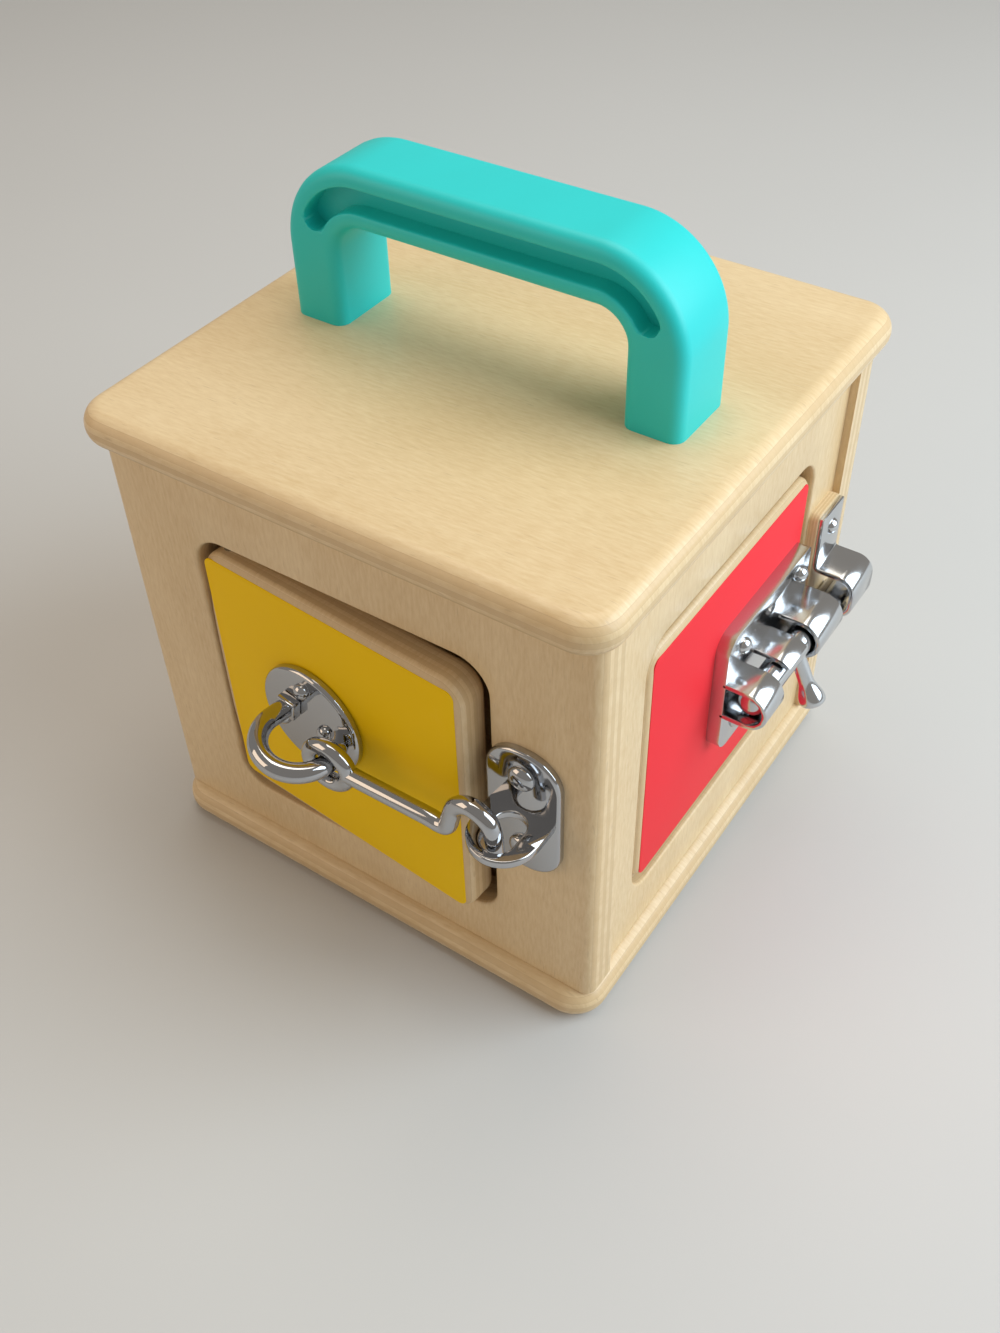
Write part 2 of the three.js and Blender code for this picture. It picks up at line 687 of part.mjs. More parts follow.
redFace.add(piece('red_door', doorLeaf(redRight, boltScrewBores, doorEdgeRound), birch));
redFace.add(piece('red_facing', doorFacing(redRight, boltScrewBores, doorEdgeRound), red));

// A section drawn across the bolt (its X up the wall, its Y out of it), carried along the wall from `from`
function alongBolt(section, from, length) {
  const turn = new THREE.Matrix4().set(0, 0, 1, from, 1, 0, 0, boltHeight, 0, 1, 0, 0, 0, 0, 0, 1);
  return slab(section, 0, length).applyMatrix4(turn);
}

// Bolt body: a plate with three arches over the rod and a notch between each two for the knob
const firstNotch = boltLeft + boltCollarWidth;
const middleCollar = firstNotch + boltNotchWidth;
const secondNotch = middleCollar + boltCollarWidth;
const endCollar = secondNotch + boltNotchWidth;
const collars = [
  [boltLeft, boltCollarWidth], [middleCollar, boltCollarWidth], [endCollar, boltEndCollarWidth],
];
const rodRadius = boltRodDiameter / 2;
const boreRadius = rodRadius + boltBoreClearance;

function boltBody() {
  const plateOutline = roundedRectangle(
    [boltLeft, boltHeight - boltPlateHeight / 2], [boltRight, boltHeight + boltPlateHeight / 2],
    [boltPlateHingeRadius, boltPlateFreeRadius, boltPlateFreeRadius, boltPlateHingeRadius]);
  const plate = slab(plateOutline, boltSeat, boltPlateThickness, boltPlateThickness / 6);
  const arch = roundedRectangle(
    [-boltCollarHalfHeight, boltSeat + boltPlateThickness / 2],
    [boltCollarHalfHeight, boltAxis + boltCollarHalfHeight],
    [0, 0, boltCollarHalfHeight, boltCollarHalfHeight]);
  const bore = new THREE.CylinderGeometry(boreRadius, boreRadius, 2 * boltPlateLength, rodSides);
  const seamLow = boltHeight - boreRadius + boltSeamWidth / 2;
  const seam = block(
    [boltLeft - seatGap, seamLow, 0],
    [boltRight + seatGap, seamLow + boltSeamWidth, boltAxis - boreRadius / 2]);
  const knobWay = block(
    [firstNotch, boltHeight - boltPlateHeight, boltAxis - knobStemDiameter * 0.75],
    [endCollar, boltHeight + boltSlotRise, boltAxis + 2 * boltCollarHalfHeight]);
  return cut(
    join(plate, ...collars.map(([from, width]) => alongBolt(arch, from, width))),
    bore.rotateZ(Math.PI / 2).translate(boltLeft, boltHeight, boltAxis),
    seam, knobWay, ...boltScrewBores, ...spareBores);
}

redFace.add(piece('bolt_body', boltBody(), chrome));
boltScrewPlaces.forEach((place, i) => {
  const screw = domedScrew(smallHeadDiameter, place, boltFace, boltScrewShank);
  redFace.add(piece(`bolt_screw_${i + 1}`, screw, chrome));
});

// Rod with domed ends, thrown into the keeper, and the knob that turns in the notches
const keeperLeft = keeperX - keeperWidth / 2 - redPin.y;
const rodStart = boltLeft + boltRodSetback;
const rodLength = keeperLeft + boltRodInKeeper - rodStart;
const rodDome = domeProfile(rodRadius, rodRadius * 0.6, rodLength - rodRadius * 0.6);
const rodTail = rodDome.map(([r, h]) => [r, rodLength - h]).reverse();
const rod = turned([...rodTail, ...rodDome], rodSides).rotateZ(-Math.PI / 2);
redFace.add(piece('bolt_rod', rod.translate(rodStart, boltHeight, boltAxis), chrome));

function knobBody() {
  const stem = knobStemDiameter / 2;
  const end = knobEndDiameter / 2;
  const flare = knobLength - knobFlareLength;
  const profile = [
    [0, rodRadius + seatGap], [stem, rodRadius + seatGap], [stem, flare],
    [stem + (end - stem) * 0.2, flare + knobFlareLength * 0.3],
    [stem + (end - stem) * 0.7, flare + knobFlareLength * 0.6],
    ...domeProfile(end, knobFlareLength * 0.2, flare + knobFlareLength * 0.8),
  ];
  const knob = turned(profile, screwSides + 2).rotateX(Math.PI / 2 - knobHang);
  return knob.translate(secondNotch + boltNotchWidth / 2, boltHeight, boltAxis);
}

redFace.add(piece('bolt_knob', knobBody(), chrome));

// Keeper: a bent strap on a wooden packing block beside the door
const rightFace = wallFrame(sideOuter, 0, Math.PI / 2);

function keeperBlockBody() {
  const low = [keeperX - keeperBlockWidth / 2, boltHeight - keeperBlockHeight / 2];
  const high = [keeperX + keeperBlockWidth / 2, boltHeight + keeperBlockHeight / 2];
  return cut(slab(evenRectangle(low, high, 2), 0, keeperBlockThickness), ...keeperScrewBores);
}

function keeperBody() {
  const from = keeperX - keeperWidth / 2;
  const inside = keeperHalfHeight - keeperSheet;
  const outerArch = roundedRectangle(
    [keeperLoopRise - keeperHalfHeight, keeperBlockThickness],
    [keeperLoopRise + keeperHalfHeight, keeperReach],
    [0, 0, keeperCornerRadius, keeperCornerRadius]);
  const innerRadius = keeperCornerRadius - keeperSheet;
  const innerArch = roundedRectangle(
    [keeperLoopRise - inside, 0], [keeperLoopRise + inside, keeperReach - keeperSheet],
    [0, 0, innerRadius, innerRadius]);
  const flange = evenRectangle(
    [from, boltHeight - keeperHeight / 2], [from + keeperWidth, boltHeight + keeperHeight / 2], 2);
  return cut(
    join(slab(flange, keeperBlockThickness, keeperFlange), alongBolt(outerArch, from, keeperWidth)),
    alongBolt(innerArch, from - keeperWidth, 3 * keeperWidth), ...keeperScrewBores);
}

rightFace.add(piece('keeper_block', keeperBlockBody(), birch));
rightFace.add(piece('keeper', keeperBody(), chrome));
for (const [end, place] of Object.entries(keeperScrewPlaces)) {
  const screw = domedScrew(smallHeadDiameter, place, keeperSeat, keeperSeat + screwGrip);
  rightFace.add(piece(`keeper_screw_${end}`, screw, chrome));
}

export default lockBox;
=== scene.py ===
import json
import math

import bmesh
import bpy
from bpy.props import FloatProperty, FloatVectorProperty, PointerProperty
from bpy.types import Operator, Panel, PropertyGroup
from mathutils import Matrix, Vector


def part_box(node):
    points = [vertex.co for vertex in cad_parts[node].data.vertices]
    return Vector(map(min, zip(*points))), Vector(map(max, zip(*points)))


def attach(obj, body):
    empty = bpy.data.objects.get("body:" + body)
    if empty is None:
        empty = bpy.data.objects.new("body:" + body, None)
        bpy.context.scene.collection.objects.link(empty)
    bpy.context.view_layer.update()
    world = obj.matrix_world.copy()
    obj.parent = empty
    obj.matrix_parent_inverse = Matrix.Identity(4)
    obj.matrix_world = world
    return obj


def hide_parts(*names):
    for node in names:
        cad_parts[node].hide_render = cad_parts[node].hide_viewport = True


bl_info = {
    "name": "Wooden Lock Box",
    "version": (1, 0, 0),
    "blender": (4, 5, 0),
    "location": "View3D > Sidebar > Lock Box",
    "description": "Dresses the wooden lock box: plywood boards, painted doors, handle and latches",
    "category": "Object",
}

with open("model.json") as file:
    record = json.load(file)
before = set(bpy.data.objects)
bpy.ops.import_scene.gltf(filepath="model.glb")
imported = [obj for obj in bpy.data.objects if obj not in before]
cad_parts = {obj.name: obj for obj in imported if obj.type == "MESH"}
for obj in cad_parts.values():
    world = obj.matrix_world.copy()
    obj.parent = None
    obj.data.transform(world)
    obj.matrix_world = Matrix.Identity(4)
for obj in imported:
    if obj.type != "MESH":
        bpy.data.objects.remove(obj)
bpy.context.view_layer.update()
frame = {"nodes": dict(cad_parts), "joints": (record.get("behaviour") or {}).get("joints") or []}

MM = 0.001

# Lengths that differ by less than TINY are the same, and vertices nearer than MERGE become one
TINY = 0.02 * MM
MERGE = 0.001 * MM

# Edges where the surface turns by more than this, in radians, are corners
SHARP = 1.2

# The grain of the lid and the base runs from side to side, a little askew
BOARD_GRAIN = (1, 0.03, 0)

# Small roundings and fits of the pieces
SCREW_HEAD = 1.9 * MM
SCREW_SINK = 1 * MM
SCREW_TAPER = 0.98
GROOVE_RIM = 0.5 * MM
GROOVE_SHARP_END = 0.06
PLATE_RIM = 1.1 * MM
PLATE_FOOT = 0.3 * MM
STAPLE_FOOT_INWARD = 0.6 * MM
COLLAR_EDGE = 0.5 * MM
HOOK_TIP_BELOW = 1.4 * MM
EYE_PLATE_FLAT = 1 * MM
EYE_PLATE_EDGE = 0.9 * MM
TAB_EDGE = 0.45 * MM
BOLT_PLATE_EDGE = 0.5 * MM
ARCH_SINK = 1 * MM
ARCH_EDGE = 0.35 * MM
ROD_NOSE = 0.6
KNOB_ROOT = 0.6
KNOB_BELL = 0.8
PACKING_CORNER = 2 * MM
PACKING_EDGE = 0.4 * MM
KEEPER_FOOT_BEND = 0.8 * MM
KEEPER_EDGE = 0.3 * MM


def length(name, millimetres, description):
    """A length that a user may change, given in millimetres and kept in metres."""
    return FloatProperty(
        name=name, description=description, default=millimetres * MM, unit="LENGTH", precision=5)


def angle(name, degrees, description):
    """An angle that a user may change, given in degrees and kept in radians."""
    return FloatProperty(name=name, description=description, default=math.radians(degrees), subtype="ANGLE")


def linear(part):
    """One channel of a screen colour, 0 to 255, as linear light."""
    part /= 255
    return part / 12.92 if part <= 0.04045 else ((part + 0.055) / 1.055) ** 2.4


def paint(name, red, green, blue, description):
    """A colour that a user may change, given as it looks on a screen."""
    default = [linear(part) for part in (red, green, blue)]
    return FloatVectorProperty(
        name=name, description=description, default=default, subtype="COLOR", min=0, max=1)


class LockBoxSizes(PropertyGroup):
    """Sizes of the edges, wires and sheets that the frame's boxes don't give."""

    board_corner: length("Board corner", 9, "Plan radius at the corners of the lid and the base")
    board_nose: length("Board nose", 4.55, "Radius of the bullnose round the lid and the base")
    panel_corner: length("Panel corner", 3, "Radius of the upright outer corners")
    doorway_width: length("Doorway width", 82.6, "Width of both doorways")
    doorway_height: length("Doorway height", 84.5, "Height of both doorways")
    doorway_sill: length("Doorway sill", 14.3, "Height of the sill over the base board")
    doorway_corner: length("Doorway corner", 8.6, "Radius of the doorway's corners")
    front_offset: length("Front doorway offset", -1.6, "How far the front doorway stands off centre")
    side_offset: length("Side doorway offset", -0.8, "How far the side doorway stands off centre")
    eased: length("Eased edge", 0.7, "Rounding sanded on to the walls' edges")
    door_corner: length("Door corner", 6.5, "Radius of the doors' corners")
    door_round: length("Door round", 2, "Rounding of the doors' edges")
    face_corner: length("Face corner", 2.6, "Radius of the coloured faces' corners")
    film: length("Film", 0.15, "How far the coloured face stands over the wood")
    ajar: angle("Ajar", 4.4, "How far the yellow door stands open on its hook")
    handle_bar: length("Handle bar", 14.5, "Height of the handle's bar")
    handle_bend: length("Handle bend", 7.5, "Inner radius of the handle's bends")
    handle_edge: length("Handle edge", 3, "Rounding of the handle's long edges")
    groove_width: length("Groove width", 5.8, "Width of the groove in the handle's sides")
    groove_depth: length("Groove depth", 5, "Depth of the groove in the handle's sides")
    groove_end: angle("Groove end", 20, "Where the groove stops on each bend")
    staple_wire: length("Staple wire", 5, "Diameter of the staple")
    staple_radius: length("Staple radius", 9.4, "Radius of the staple's arc")
    staple_offset: length("Staple offset", 3.8, "How far the staple's middle stands from the plate's")
    staple_rise: length("Staple rise", 2.7, "How far the staple stands above the plate's middle")
    staple_out: length("Staple height", 7.2, "How far the arc's middle stands out from the plate")
    staple_tilt: angle("Staple tilt", -9, "How far the staple leans from level")
    collar_width: length("Collar width", 5.5, "Width of the square collar at the staple's left foot")
    collar_height: length("Collar height", 2.7, "Height of the square collar over the plate")
    hook_wire: length("Hook wire", 4.4, "Diameter of the hook's shank")
    hook_eye_wire: length("Hook eye wire", 4.2, "Diameter of the hook's eye")
    hook_eye_hole: length("Hook eye hole", 7, "Hole in the hook's eye")
    hook_neck_run: length("Hook neck run", 14.3, "Length of the raised neck")
    eye_sheet: length("Eye sheet", 2, "Thickness of the plate that carries the tab")
    tab_radius: length("Tab radius", 8.45, "Radius of the tab's round end")
    slot_width: length("Slot width", 7.8, "Width of the slot that takes the hook")
    slot_length: length("Slot length", 12.1, "Length of the slot that takes the hook")
    tab_top: length("Tab top", 71.5, "Height of the tab over the floor")
    tab_sheet: length("Tab sheet", 2.2, "Thickness of the tab")
    bolt_plate: length("Bolt plate", 3.3, "How far the bolt's plate stands out")
    bolt_hinge_corner: length("Bolt hinge corner", 5, "Radius of the plate's corners on the hinge side")
    bolt_free_corner: length("Bolt free corner", 1.5, "Radius of the plate's corners on the keeper's side")
    spare_hole: length("Spare hole", 2.7, "Diameter of the plate's two spare screw holes")
    bolt_collar: length("Bolt collar", 5.8, "Outer radius of the arches over the rod")
    bolt_sheet: length("Bolt sheet", 1.4, "Thickness of the arches")
    bolt_collar_width: length("Bolt collar width", 9.8, "Width of the first two arches")
    bolt_slot: length("Bolt slot", 4, "How far over the rod's middle the knob's slot reaches")
    bolt_notch: length("Bolt notch", 5.2, "Width of the notches between the arches")
    knob_stem: length("Knob stem", 4, "Diameter of the knob's stem")
    knob_end: length("Knob end", 7, "Diameter of the knob's bell")
    knob_length: length("Knob length", 18.5, "Reach of the knob from the rod's middle")
    knob_flare: length("Knob flare", 8, "Length over which the stem swells to the bell")
    knob_hang: angle("Knob hang", 65, "How far the knob hangs down")
    keeper_half: length("Keeper half height", 6.6, "Half the height of the keeper's loop")
    keeper_rise: length("Keeper rise", 0.75, "How far the keeper's loop stands above the rod's middle")
    keeper_sheet: length("Keeper sheet", 1.4, "Thickness of the keeper")
    keeper_corner: length("Keeper corner", 4.8, "Radius of the keeper's bends")


class LockBoxColours(PropertyGroup):
    """Colours of the finishes."""

    veneer: paint("Veneer", 232, 206, 163, "Pale parts of the birch face")
    grain: paint("Grain", 212, 180, 132, "Darker streaks of the birch face")
    end_grain: paint("End grain", 200, 170, 130, "Crosswise plies seen at the edges")
    glue: paint("Glue line", 172, 138, 100, "Thin lines between the plies")
    yellow: paint("Yellow", 250, 204, 0, "Front door")
    red: paint("Red", 244, 54, 63, "Side door")
    teal: paint("Teal", 34, 210, 208, "Handle")
    chrome: paint("Plating", 184, 185, 188, "Plated latches")
    nickel: paint("Nickel", 204, 206, 209, "Satin plated bolt and keeper")
    steel: paint("Steel", 170, 172, 176, "Hidden pins and screws")
    floor: paint("Floor", 200, 199, 197, "Floor and backdrop")


class Value:
    """A socket that can be used in sums, each of which adds a Math node."""

    def __init__(self, graph, socket):
        self.graph = graph
        self.socket = socket

    def sum(self, operation, first, second=0.0):
        return self.graph.add("ShaderNodeMath", {"operation": operation}, {0: first, 1: second})

    def __add__(self, other):
        return self.sum("ADD", self, other)

    __radd__ = __add__

    def __sub__(self, other):
        return self.sum("SUBTRACT", self, other)

    def __rsub__(self, other):
        return self.sum("SUBTRACT", other, self)

    def __mul__(self, other):
        return self.sum("MULTIPLY", self, other)

    __rmul__ = __mul__

    def __truediv__(self, other):
        return self.sum("DIVIDE", self, other)

    def sine(self):
        return self.sum("SINE", self)

    def size(self):
        return self.sum("ABSOLUTE", self)

    def clamped(self):
        return self.graph.add("ShaderNodeClamp", {}, {"Value": self})

    def above(self, level, sharpness):
        """Spots where a noise passes a level, with soft or sharp edges."""
        return ((self - level) * sharpness).clamped()


# Sockets of a Mix node that blends colours
MIX_FACTOR, MIX_FIRST, MIX_SECOND, MIX_RESULT = 0, 6, 7, 2


class Graph:
    """The nodes of one material."""

    def __init__(self, name):
        self.material = bpy.data.materials.new(name)
        self.material.use_nodes = True
        self.tree = self.material.node_tree
        self.shader = self.tree.nodes["Principled BSDF"]
        self.place = self.add("ShaderNodeTexCoord", {}, {}, "Object")

    def add(self, kind, settings, sockets, output=0):
        """Adds a node, sets it up, fills or links its sockets and returns one output."""
        node = self.tree.nodes.new(kind)
        for name, setting in settings.items():
            setattr(node, name, setting)
        self.fill(node, sockets)
        return Value(self, node.outputs[output])

    def fill(self, node, sockets):
        for name, given in sockets.items():
            if isinstance(given, Value):
                self.tree.links.new(given.socket, node.inputs[name])
            else:
                node.inputs[name].default_value = given

    def along(self, direction):
        """How far a point lies along a direction."""
        sockets = {0: self.place, 1: direction}
        return self.add("ShaderNodeVectorMath", {"operation": "DOT_PRODUCT"}, sockets, "Value")

    def vector(self, x, y, z):
        return self.add("ShaderNodeCombineXYZ", {}, {"X": x, "Y": y, "Z": z})

    def noise(self, vector, scale, detail=2.0, roughness=0.5, distortion=0.0):
        """Cloudy noise from 0 to 1, with about `scale` features in each unit of the vector."""
        sockets = {"Vector": vector, "Scale": scale, "Detail": detail}
        sockets |= {"Roughness": roughness, "Distortion": distortion}
        return self.add("ShaderNodeTexNoise", {}, sockets)

    def mix(self, factor, first, second):
        """A blend of two colours."""
        sockets = {MIX_FACTOR: factor, MIX_FIRST: self.opaque(first), MIX_SECOND: self.opaque(second)}
        return self.add("ShaderNodeMix", {"data_type": "RGBA"}, sockets, MIX_RESULT)

    def opaque(self, colour):
        return colour if isinstance(colour, Value) else (*colour, 1.0)

    def bump(self, height, distance, strength):
        sockets = {"Height": height, "Distance": distance, "Strength": strength}
        return self.add("ShaderNodeBump", {}, sockets, "Normal")

    def done(self, sockets):
        self.fill(self.shader, sockets)
        return self.material


PLIES = 7
CHROME_ROUGHNESS = 0.035
NICKEL_ROUGHNESS = 0.12
STEEL_ROUGHNESS = 0.22


def shade(colour, amount):
    """A colour made darker, by an amount below 1."""
    return [part * amount for part in colour]


def tint(colour, amount):
    """A colour taken part of the way to white."""
    return [part + (1 - part) * amount for part in colour]


def ply_finish(name, out, thickness, back, grain):
    """Birch plywood: a figured face veneer, and plies that show wherever an edge is cut or rounded."""
    colours = bpy.context.scene.lock_box_colours
    graph = Graph(name)
    out = Vector(out).normalized()
    grain = Vector(grain).normalized()
    depth = (graph.along(out) - back) / thickness
    lengthwise = graph.along(grain)
    sideways = graph.along(out.cross(grain))

    def drawn_out(along, across, through, **settings):
        """Noise drawn out by the grain, with so many features in a metre and through the board."""
        place = graph.vector(lengthwise * along, sideways * across, depth * through)
        return graph.noise(place, 1, **settings)

    figure = drawn_out(9, 40, 0.6, detail=3, roughness=0.55, distortion=0.6)
    fibre = drawn_out(240, 1300, 3, detail=3, roughness=0.6)
    pores = drawn_out(210, 2300, 5, detail=1)
    speckle = graph.noise(graph.place, 1500, roughness=0.6)
    wander = graph.noise(graph.place, 60)

    # The face plies are sanded thinner than the rest, and no glue line is quite straight
    sanded = 0.14
    waver = (wander - 0.5) * 0.14
    wave = ((sanded + depth * (PLIES - 2 * sanded) + waver) * math.pi).sine()
    crosswise = (0.5 - wave * 4).clamped()
    glue = (1 - wave.size() * 7).clamped()
    streaks = (0.42 + (figure - 0.5) * 1.3 + (fibre - 0.5) * 1.4).clamped()
    pits = pores.above(level=0.66, sharpness=9)

    pit_strength = 0.6
    ply_strength = 0.65
    glue_strength = 0.45
    face = graph.mix(streaks, colours.veneer, colours.grain)
    face = graph.mix(pits * pit_strength, face, colours.end_grain)
    cut = graph.mix((speckle * 0.9).clamped(), colours.grain, colours.end_grain)
    wood = graph.mix(crosswise * ply_strength, face, cut)
    wood = graph.mix(glue * glue_strength, wood, colours.glue)
    height = fibre * 0.5 + (1 - pits) * 0.35 - crosswise * speckle * 0.5
    return graph.done({
        "Base Color": wood,
        "Roughness": 0.4 + fibre * 0.2 + crosswise * 0.14,
        "Normal": graph.bump(height, distance=0.12 * MM, strength=0.35),
        "Coat Weight": 0.4,
        "Coat Roughness": 0.2,
    })


def painted_finish(name, colour):
    """Smooth sprayed colour with a faint ripple, rubbed a little in places."""
    graph = Graph(name)
    ripple = graph.noise(graph.place, 420)
    cloud = graph.noise(graph.place, 28, detail=3, roughness=0.6)
    rubbed = graph.noise(graph.place, 95, detail=4, roughness=0.7).above(level=0.62, sharpness=5)
    tone = graph.mix(cloud, shade(colour, 0.93), colour)
    tone = graph.mix(rubbed * 0.35, tone, tint(colour, 0.04))
    return graph.done({
        "Base Color": tone,
        "Roughness": 0.5 + cloud * 0.1 + rubbed * 0.06,
        "Normal": graph.bump(ripple, distance=0.05 * MM, strength=0.25),
        "Specular IOR Level": 0.15,
    })


def moulded_finish(name, colour):
    """Satin moulded plastic with a fine spark texture, smoother where it is held."""
    graph = Graph(name)
    spark = graph.noise(graph.place, 2600, roughness=0.6)
    cloud = graph.noise(graph.place, 35, detail=3, roughness=0.6)
    handled = graph.noise(graph.place, 130, detail=4, roughness=0.65).above(level=0.58, sharpness=4)
    return graph.done({
        "Base Color": graph.mix(cloud, shade(colour, 0.9), colour),
        "Roughness": 0.4 + cloud * 0.08 - handled * 0.07,
        "Normal": graph.bump(spark, distance=0.03 * MM, strength=0.3),
        "Subsurface Weight": 0.15,
        "Subsurface Radius": (2 * MM, 3 * MM, 3 * MM),
        "Subsurface Scale": 1.0,
    })


def plated_finish(name, colour, roughness):
    """Bright plating over pressed metal: faint waviness, fine rubs and a few dull pits."""
    graph = Graph(name)
    wave = graph.noise(graph.place, 150)
    rub_across = graph.along((1, 1, 0)) * 900
    rub_along = graph.along((1, -1, 0)) * 90
    rub = graph.noise(graph.vector(rub_across, rub_along, 0), 1, detail=3, roughness=0.6)
    pits = graph.noise(graph.place, 900, detail=1).above(level=0.76, sharpness=9)
    return graph.done({
        "Base Color": graph.mix(pits * 0.8, colour, shade(colour, 0.55)),
        "Metallic": 1.0,
        "Roughness": roughness + rub * 0.07 + pits * 0.25,
        "Normal": graph.bump(wave - pits * 0.2, distance=0.04 * MM, strength=0.06),
    })


def named_finish(name):
    """A finish that several pieces share, made when it is first asked for."""
    colours = bpy.context.scene.lock_box_colours
    title = "finish_" + name
    makers = {
        "chrome": lambda: plated_finish(title, colours.chrome, CHROME_ROUGHNESS),
        "nickel": lambda: plated_finish(title, colours.nickel, NICKEL_ROUGHNESS),
        "plain_steel": lambda: plated_finish(title, colours.steel, STEEL_ROUGHNESS),
        "teal_plastic": lambda: moulded_finish(title, colours.teal),
        "yellow_facing": lambda: painted_finish(title, colours.yellow),
        "red_facing": lambda: painted_finish(title, colours.red),
    }
    return bpy.data.materials.get(title) or makers[name]()


class Shape:
    """A mesh in the making, in metres."""

    def __init__(self):
        self.bm = bmesh.new()

    def block(self, low, high):
        low, high = Vector(low), Vector(high)
        place = Matrix.Translation((low + high) / 2) @ Matrix.Diagonal((*(high - low), 1))
        return bmesh.ops.create_cube(self.bm, size=1, matrix=place)["verts"]

    def edges(self, test):
        """The edges whose two ends pass a test."""
        return [edge for edge in self.bm.edges if test(edge.verts[0].co, edge.verts[1].co)]

    def corners(self, test):
        """The edges where the surface turns sharply, and whose two ends pass a test."""
        sharp = [edge for edge in self.bm.edges if edge.calc_face_angle(0) > SHARP]
        return [edge for edge in sharp if all(test(vert) for vert in edge.verts)]

    def round(self, edges, radius, steps):
        ends = list({vert for edge in edges for vert in edge.verts})
        bmesh.ops.bevel(
            self.bm, geom=edges + ends, offset=radius, offset_type="OFFSET", segments=steps, profile=0.5,
            affect="EDGES", clamp_overlap=True, material=-1)

    def flat(self, points):
        return self.bm.faces.new([self.bm.verts.new(point) for point in points])

    def push(self, faces, way):
        """Pushes faces out along a way and returns the moved vertices."""
        made = bmesh.ops.extrude_face_region(self.bm, geom=list(faces))["geom"]
        verts = [item for item in made if isinstance(item, bmesh.types.BMVert)]
        bmesh.ops.translate(self.bm, verts=verts, vec=Vector(way))
        return verts

    def plate(self, outline, holes, low, high):
        """A flat plate between two heights, with holes through it."""
        edges = []
        for points in (outline, *holes):
            verts = [self.bm.verts.new((x, y, low)) for x, y in points]
            edges += [self.bm.edges.new(pair) for pair in zip(verts, verts[1:] + verts[:1])]
        made = bmesh.ops.triangle_fill(self.bm, edges=edges, use_beauty=True)["geom"]
        self.push([item for item in made if isinstance(item, bmesh.types.BMFace)], (0, 0, high - low))

    def sweep(self, section, stops):
        """Draws a closed section through a row of places and closes both ends."""
        verts = [self.bm.verts.new(stops[0] @ Vector((x, y, 0))) for x, y in section]
        self.bm.faces.new(verts)
        edges = [self.bm.edges.get((a, b)) for a, b in zip(verts, verts[1:] + verts[:1])]
        for before, after in zip(stops, stops[1:]):
            made = bmesh.ops.extrude_edge_only(self.bm, edges=edges)["geom"]
            verts = [item for item in made if isinstance(item, bmesh.types.BMVert)]
            new = set(verts)
            edges = [e for e in made if isinstance(e, bmesh.types.BMEdge) and set(e.verts) <= new]
            bmesh.ops.transform(self.bm, verts=verts, matrix=after @ before.inverted())
        bmesh.ops.contextual_create(self.bm, geom=edges)

    def turn(self, profile, place, steps):
        """Turns a profile of radius and height pairs about the Z axis of a place."""
        known = set(self.bm.verts)
        verts = [self.bm.verts.new((radius, 0, height)) for radius, height in profile]
        edges = [self.bm.edges.new(pair) for pair in zip(verts, verts[1:])]
        bmesh.ops.spin(
            self.bm, geom=verts + edges, cent=(0, 0, 0), axis=(0, 0, 1), angle=2 * math.pi, steps=steps,
            use_merge=True)
        bmesh.ops.transform(self.bm, verts=[v for v in self.bm.verts if v not in known], matrix=place)

    def show(self, node, body, slot, finish, place=Matrix(), crease=32):
        """Sets the finished mesh in place of a CAD node, on that node's body."""
        bm = self.bm
        bmesh.ops.remove_doubles(bm, verts=bm.verts, dist=MERGE)
        bmesh.ops.recalc_face_normals(bm, faces=bm.faces)
        bmesh.ops.transform(bm, verts=bm.verts, matrix=place)
        mesh = bpy.data.meshes.new("shown_" + node)
        bm.to_mesh(mesh)
        bm.free()
        mesh.materials.append(finish)
        mesh.polygons.foreach_set("use_smooth", [True] * len(mesh.polygons))
        mesh.set_sharp_from_angle(angle=math.radians(crease))
        shown = bpy.data.objects.new("shown_" + node, mesh)
        bpy.context.scene.collection.objects.link(shown)
        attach(shown, body)
        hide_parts(node)
        return shown


def same(one, other):
    """Whether two lengths are equal, as far as the mesh can tell."""
    return abs(one - other) < TINY


def upright(a, b):
    return same(a.x, b.x) and same(a.y, b.y)


def level(a, b):
    return same(a.z, b.z)


def wall(x, y, turn):
    """A place on a wall: X along it, Y up and Z out of it."""
    stand = Matrix.Rotation(turn, 4, "Z") @ Matrix.Rotation(math.pi / 2, 4, "X")
    return Matrix.Translation((x, y, 0)) @ stand


def hinge(name):
    return next(Vector(joint["pos_m"]) for joint in frame["joints"] if joint["name"] == name)


def extent(node, place):
    """Lowest and highest corners of a CAD node, measured in a wall's own place."""
    back = place.inverted()
    points = [back @ vert.co for vert in frame["nodes"][node].data.vertices]
    low = Vector([min(point[i] for point in points) for i in range(3)])
    high = Vector([max(point[i] for point in points) for i in range(3)])
    return low, high


def arc(x, y, radius, start, end, steps):
    """Points of a round stretch."""
    turns = [start + (end - start) * i / steps for i in range(steps + 1)]
    return [(x + radius * math.cos(t), y + radius * math.sin(t)) for t in turns]


def ring(radius, steps=20):
    return arc(0, 0, radius, 0, 2 * math.pi, steps)[:-1]


def along_path(points, normal):
    """A place at each point of a flat path, with Z along it and Y on the normal."""
    points = [Vector(point) for point in points]
    stops = []
    for i, point in enumerate(points):
        before = points[max(i - 1, 0)]
        after = points[min(i + 1, len(points) - 1)]
        ahead = (after - before).normalized()
        side = Vector(normal).cross(ahead).normalized()
        turn = Matrix((side, normal, ahead)).transposed().to_4x4()
        stops.append(Matrix.Translation(point) @ turn)
    return stops


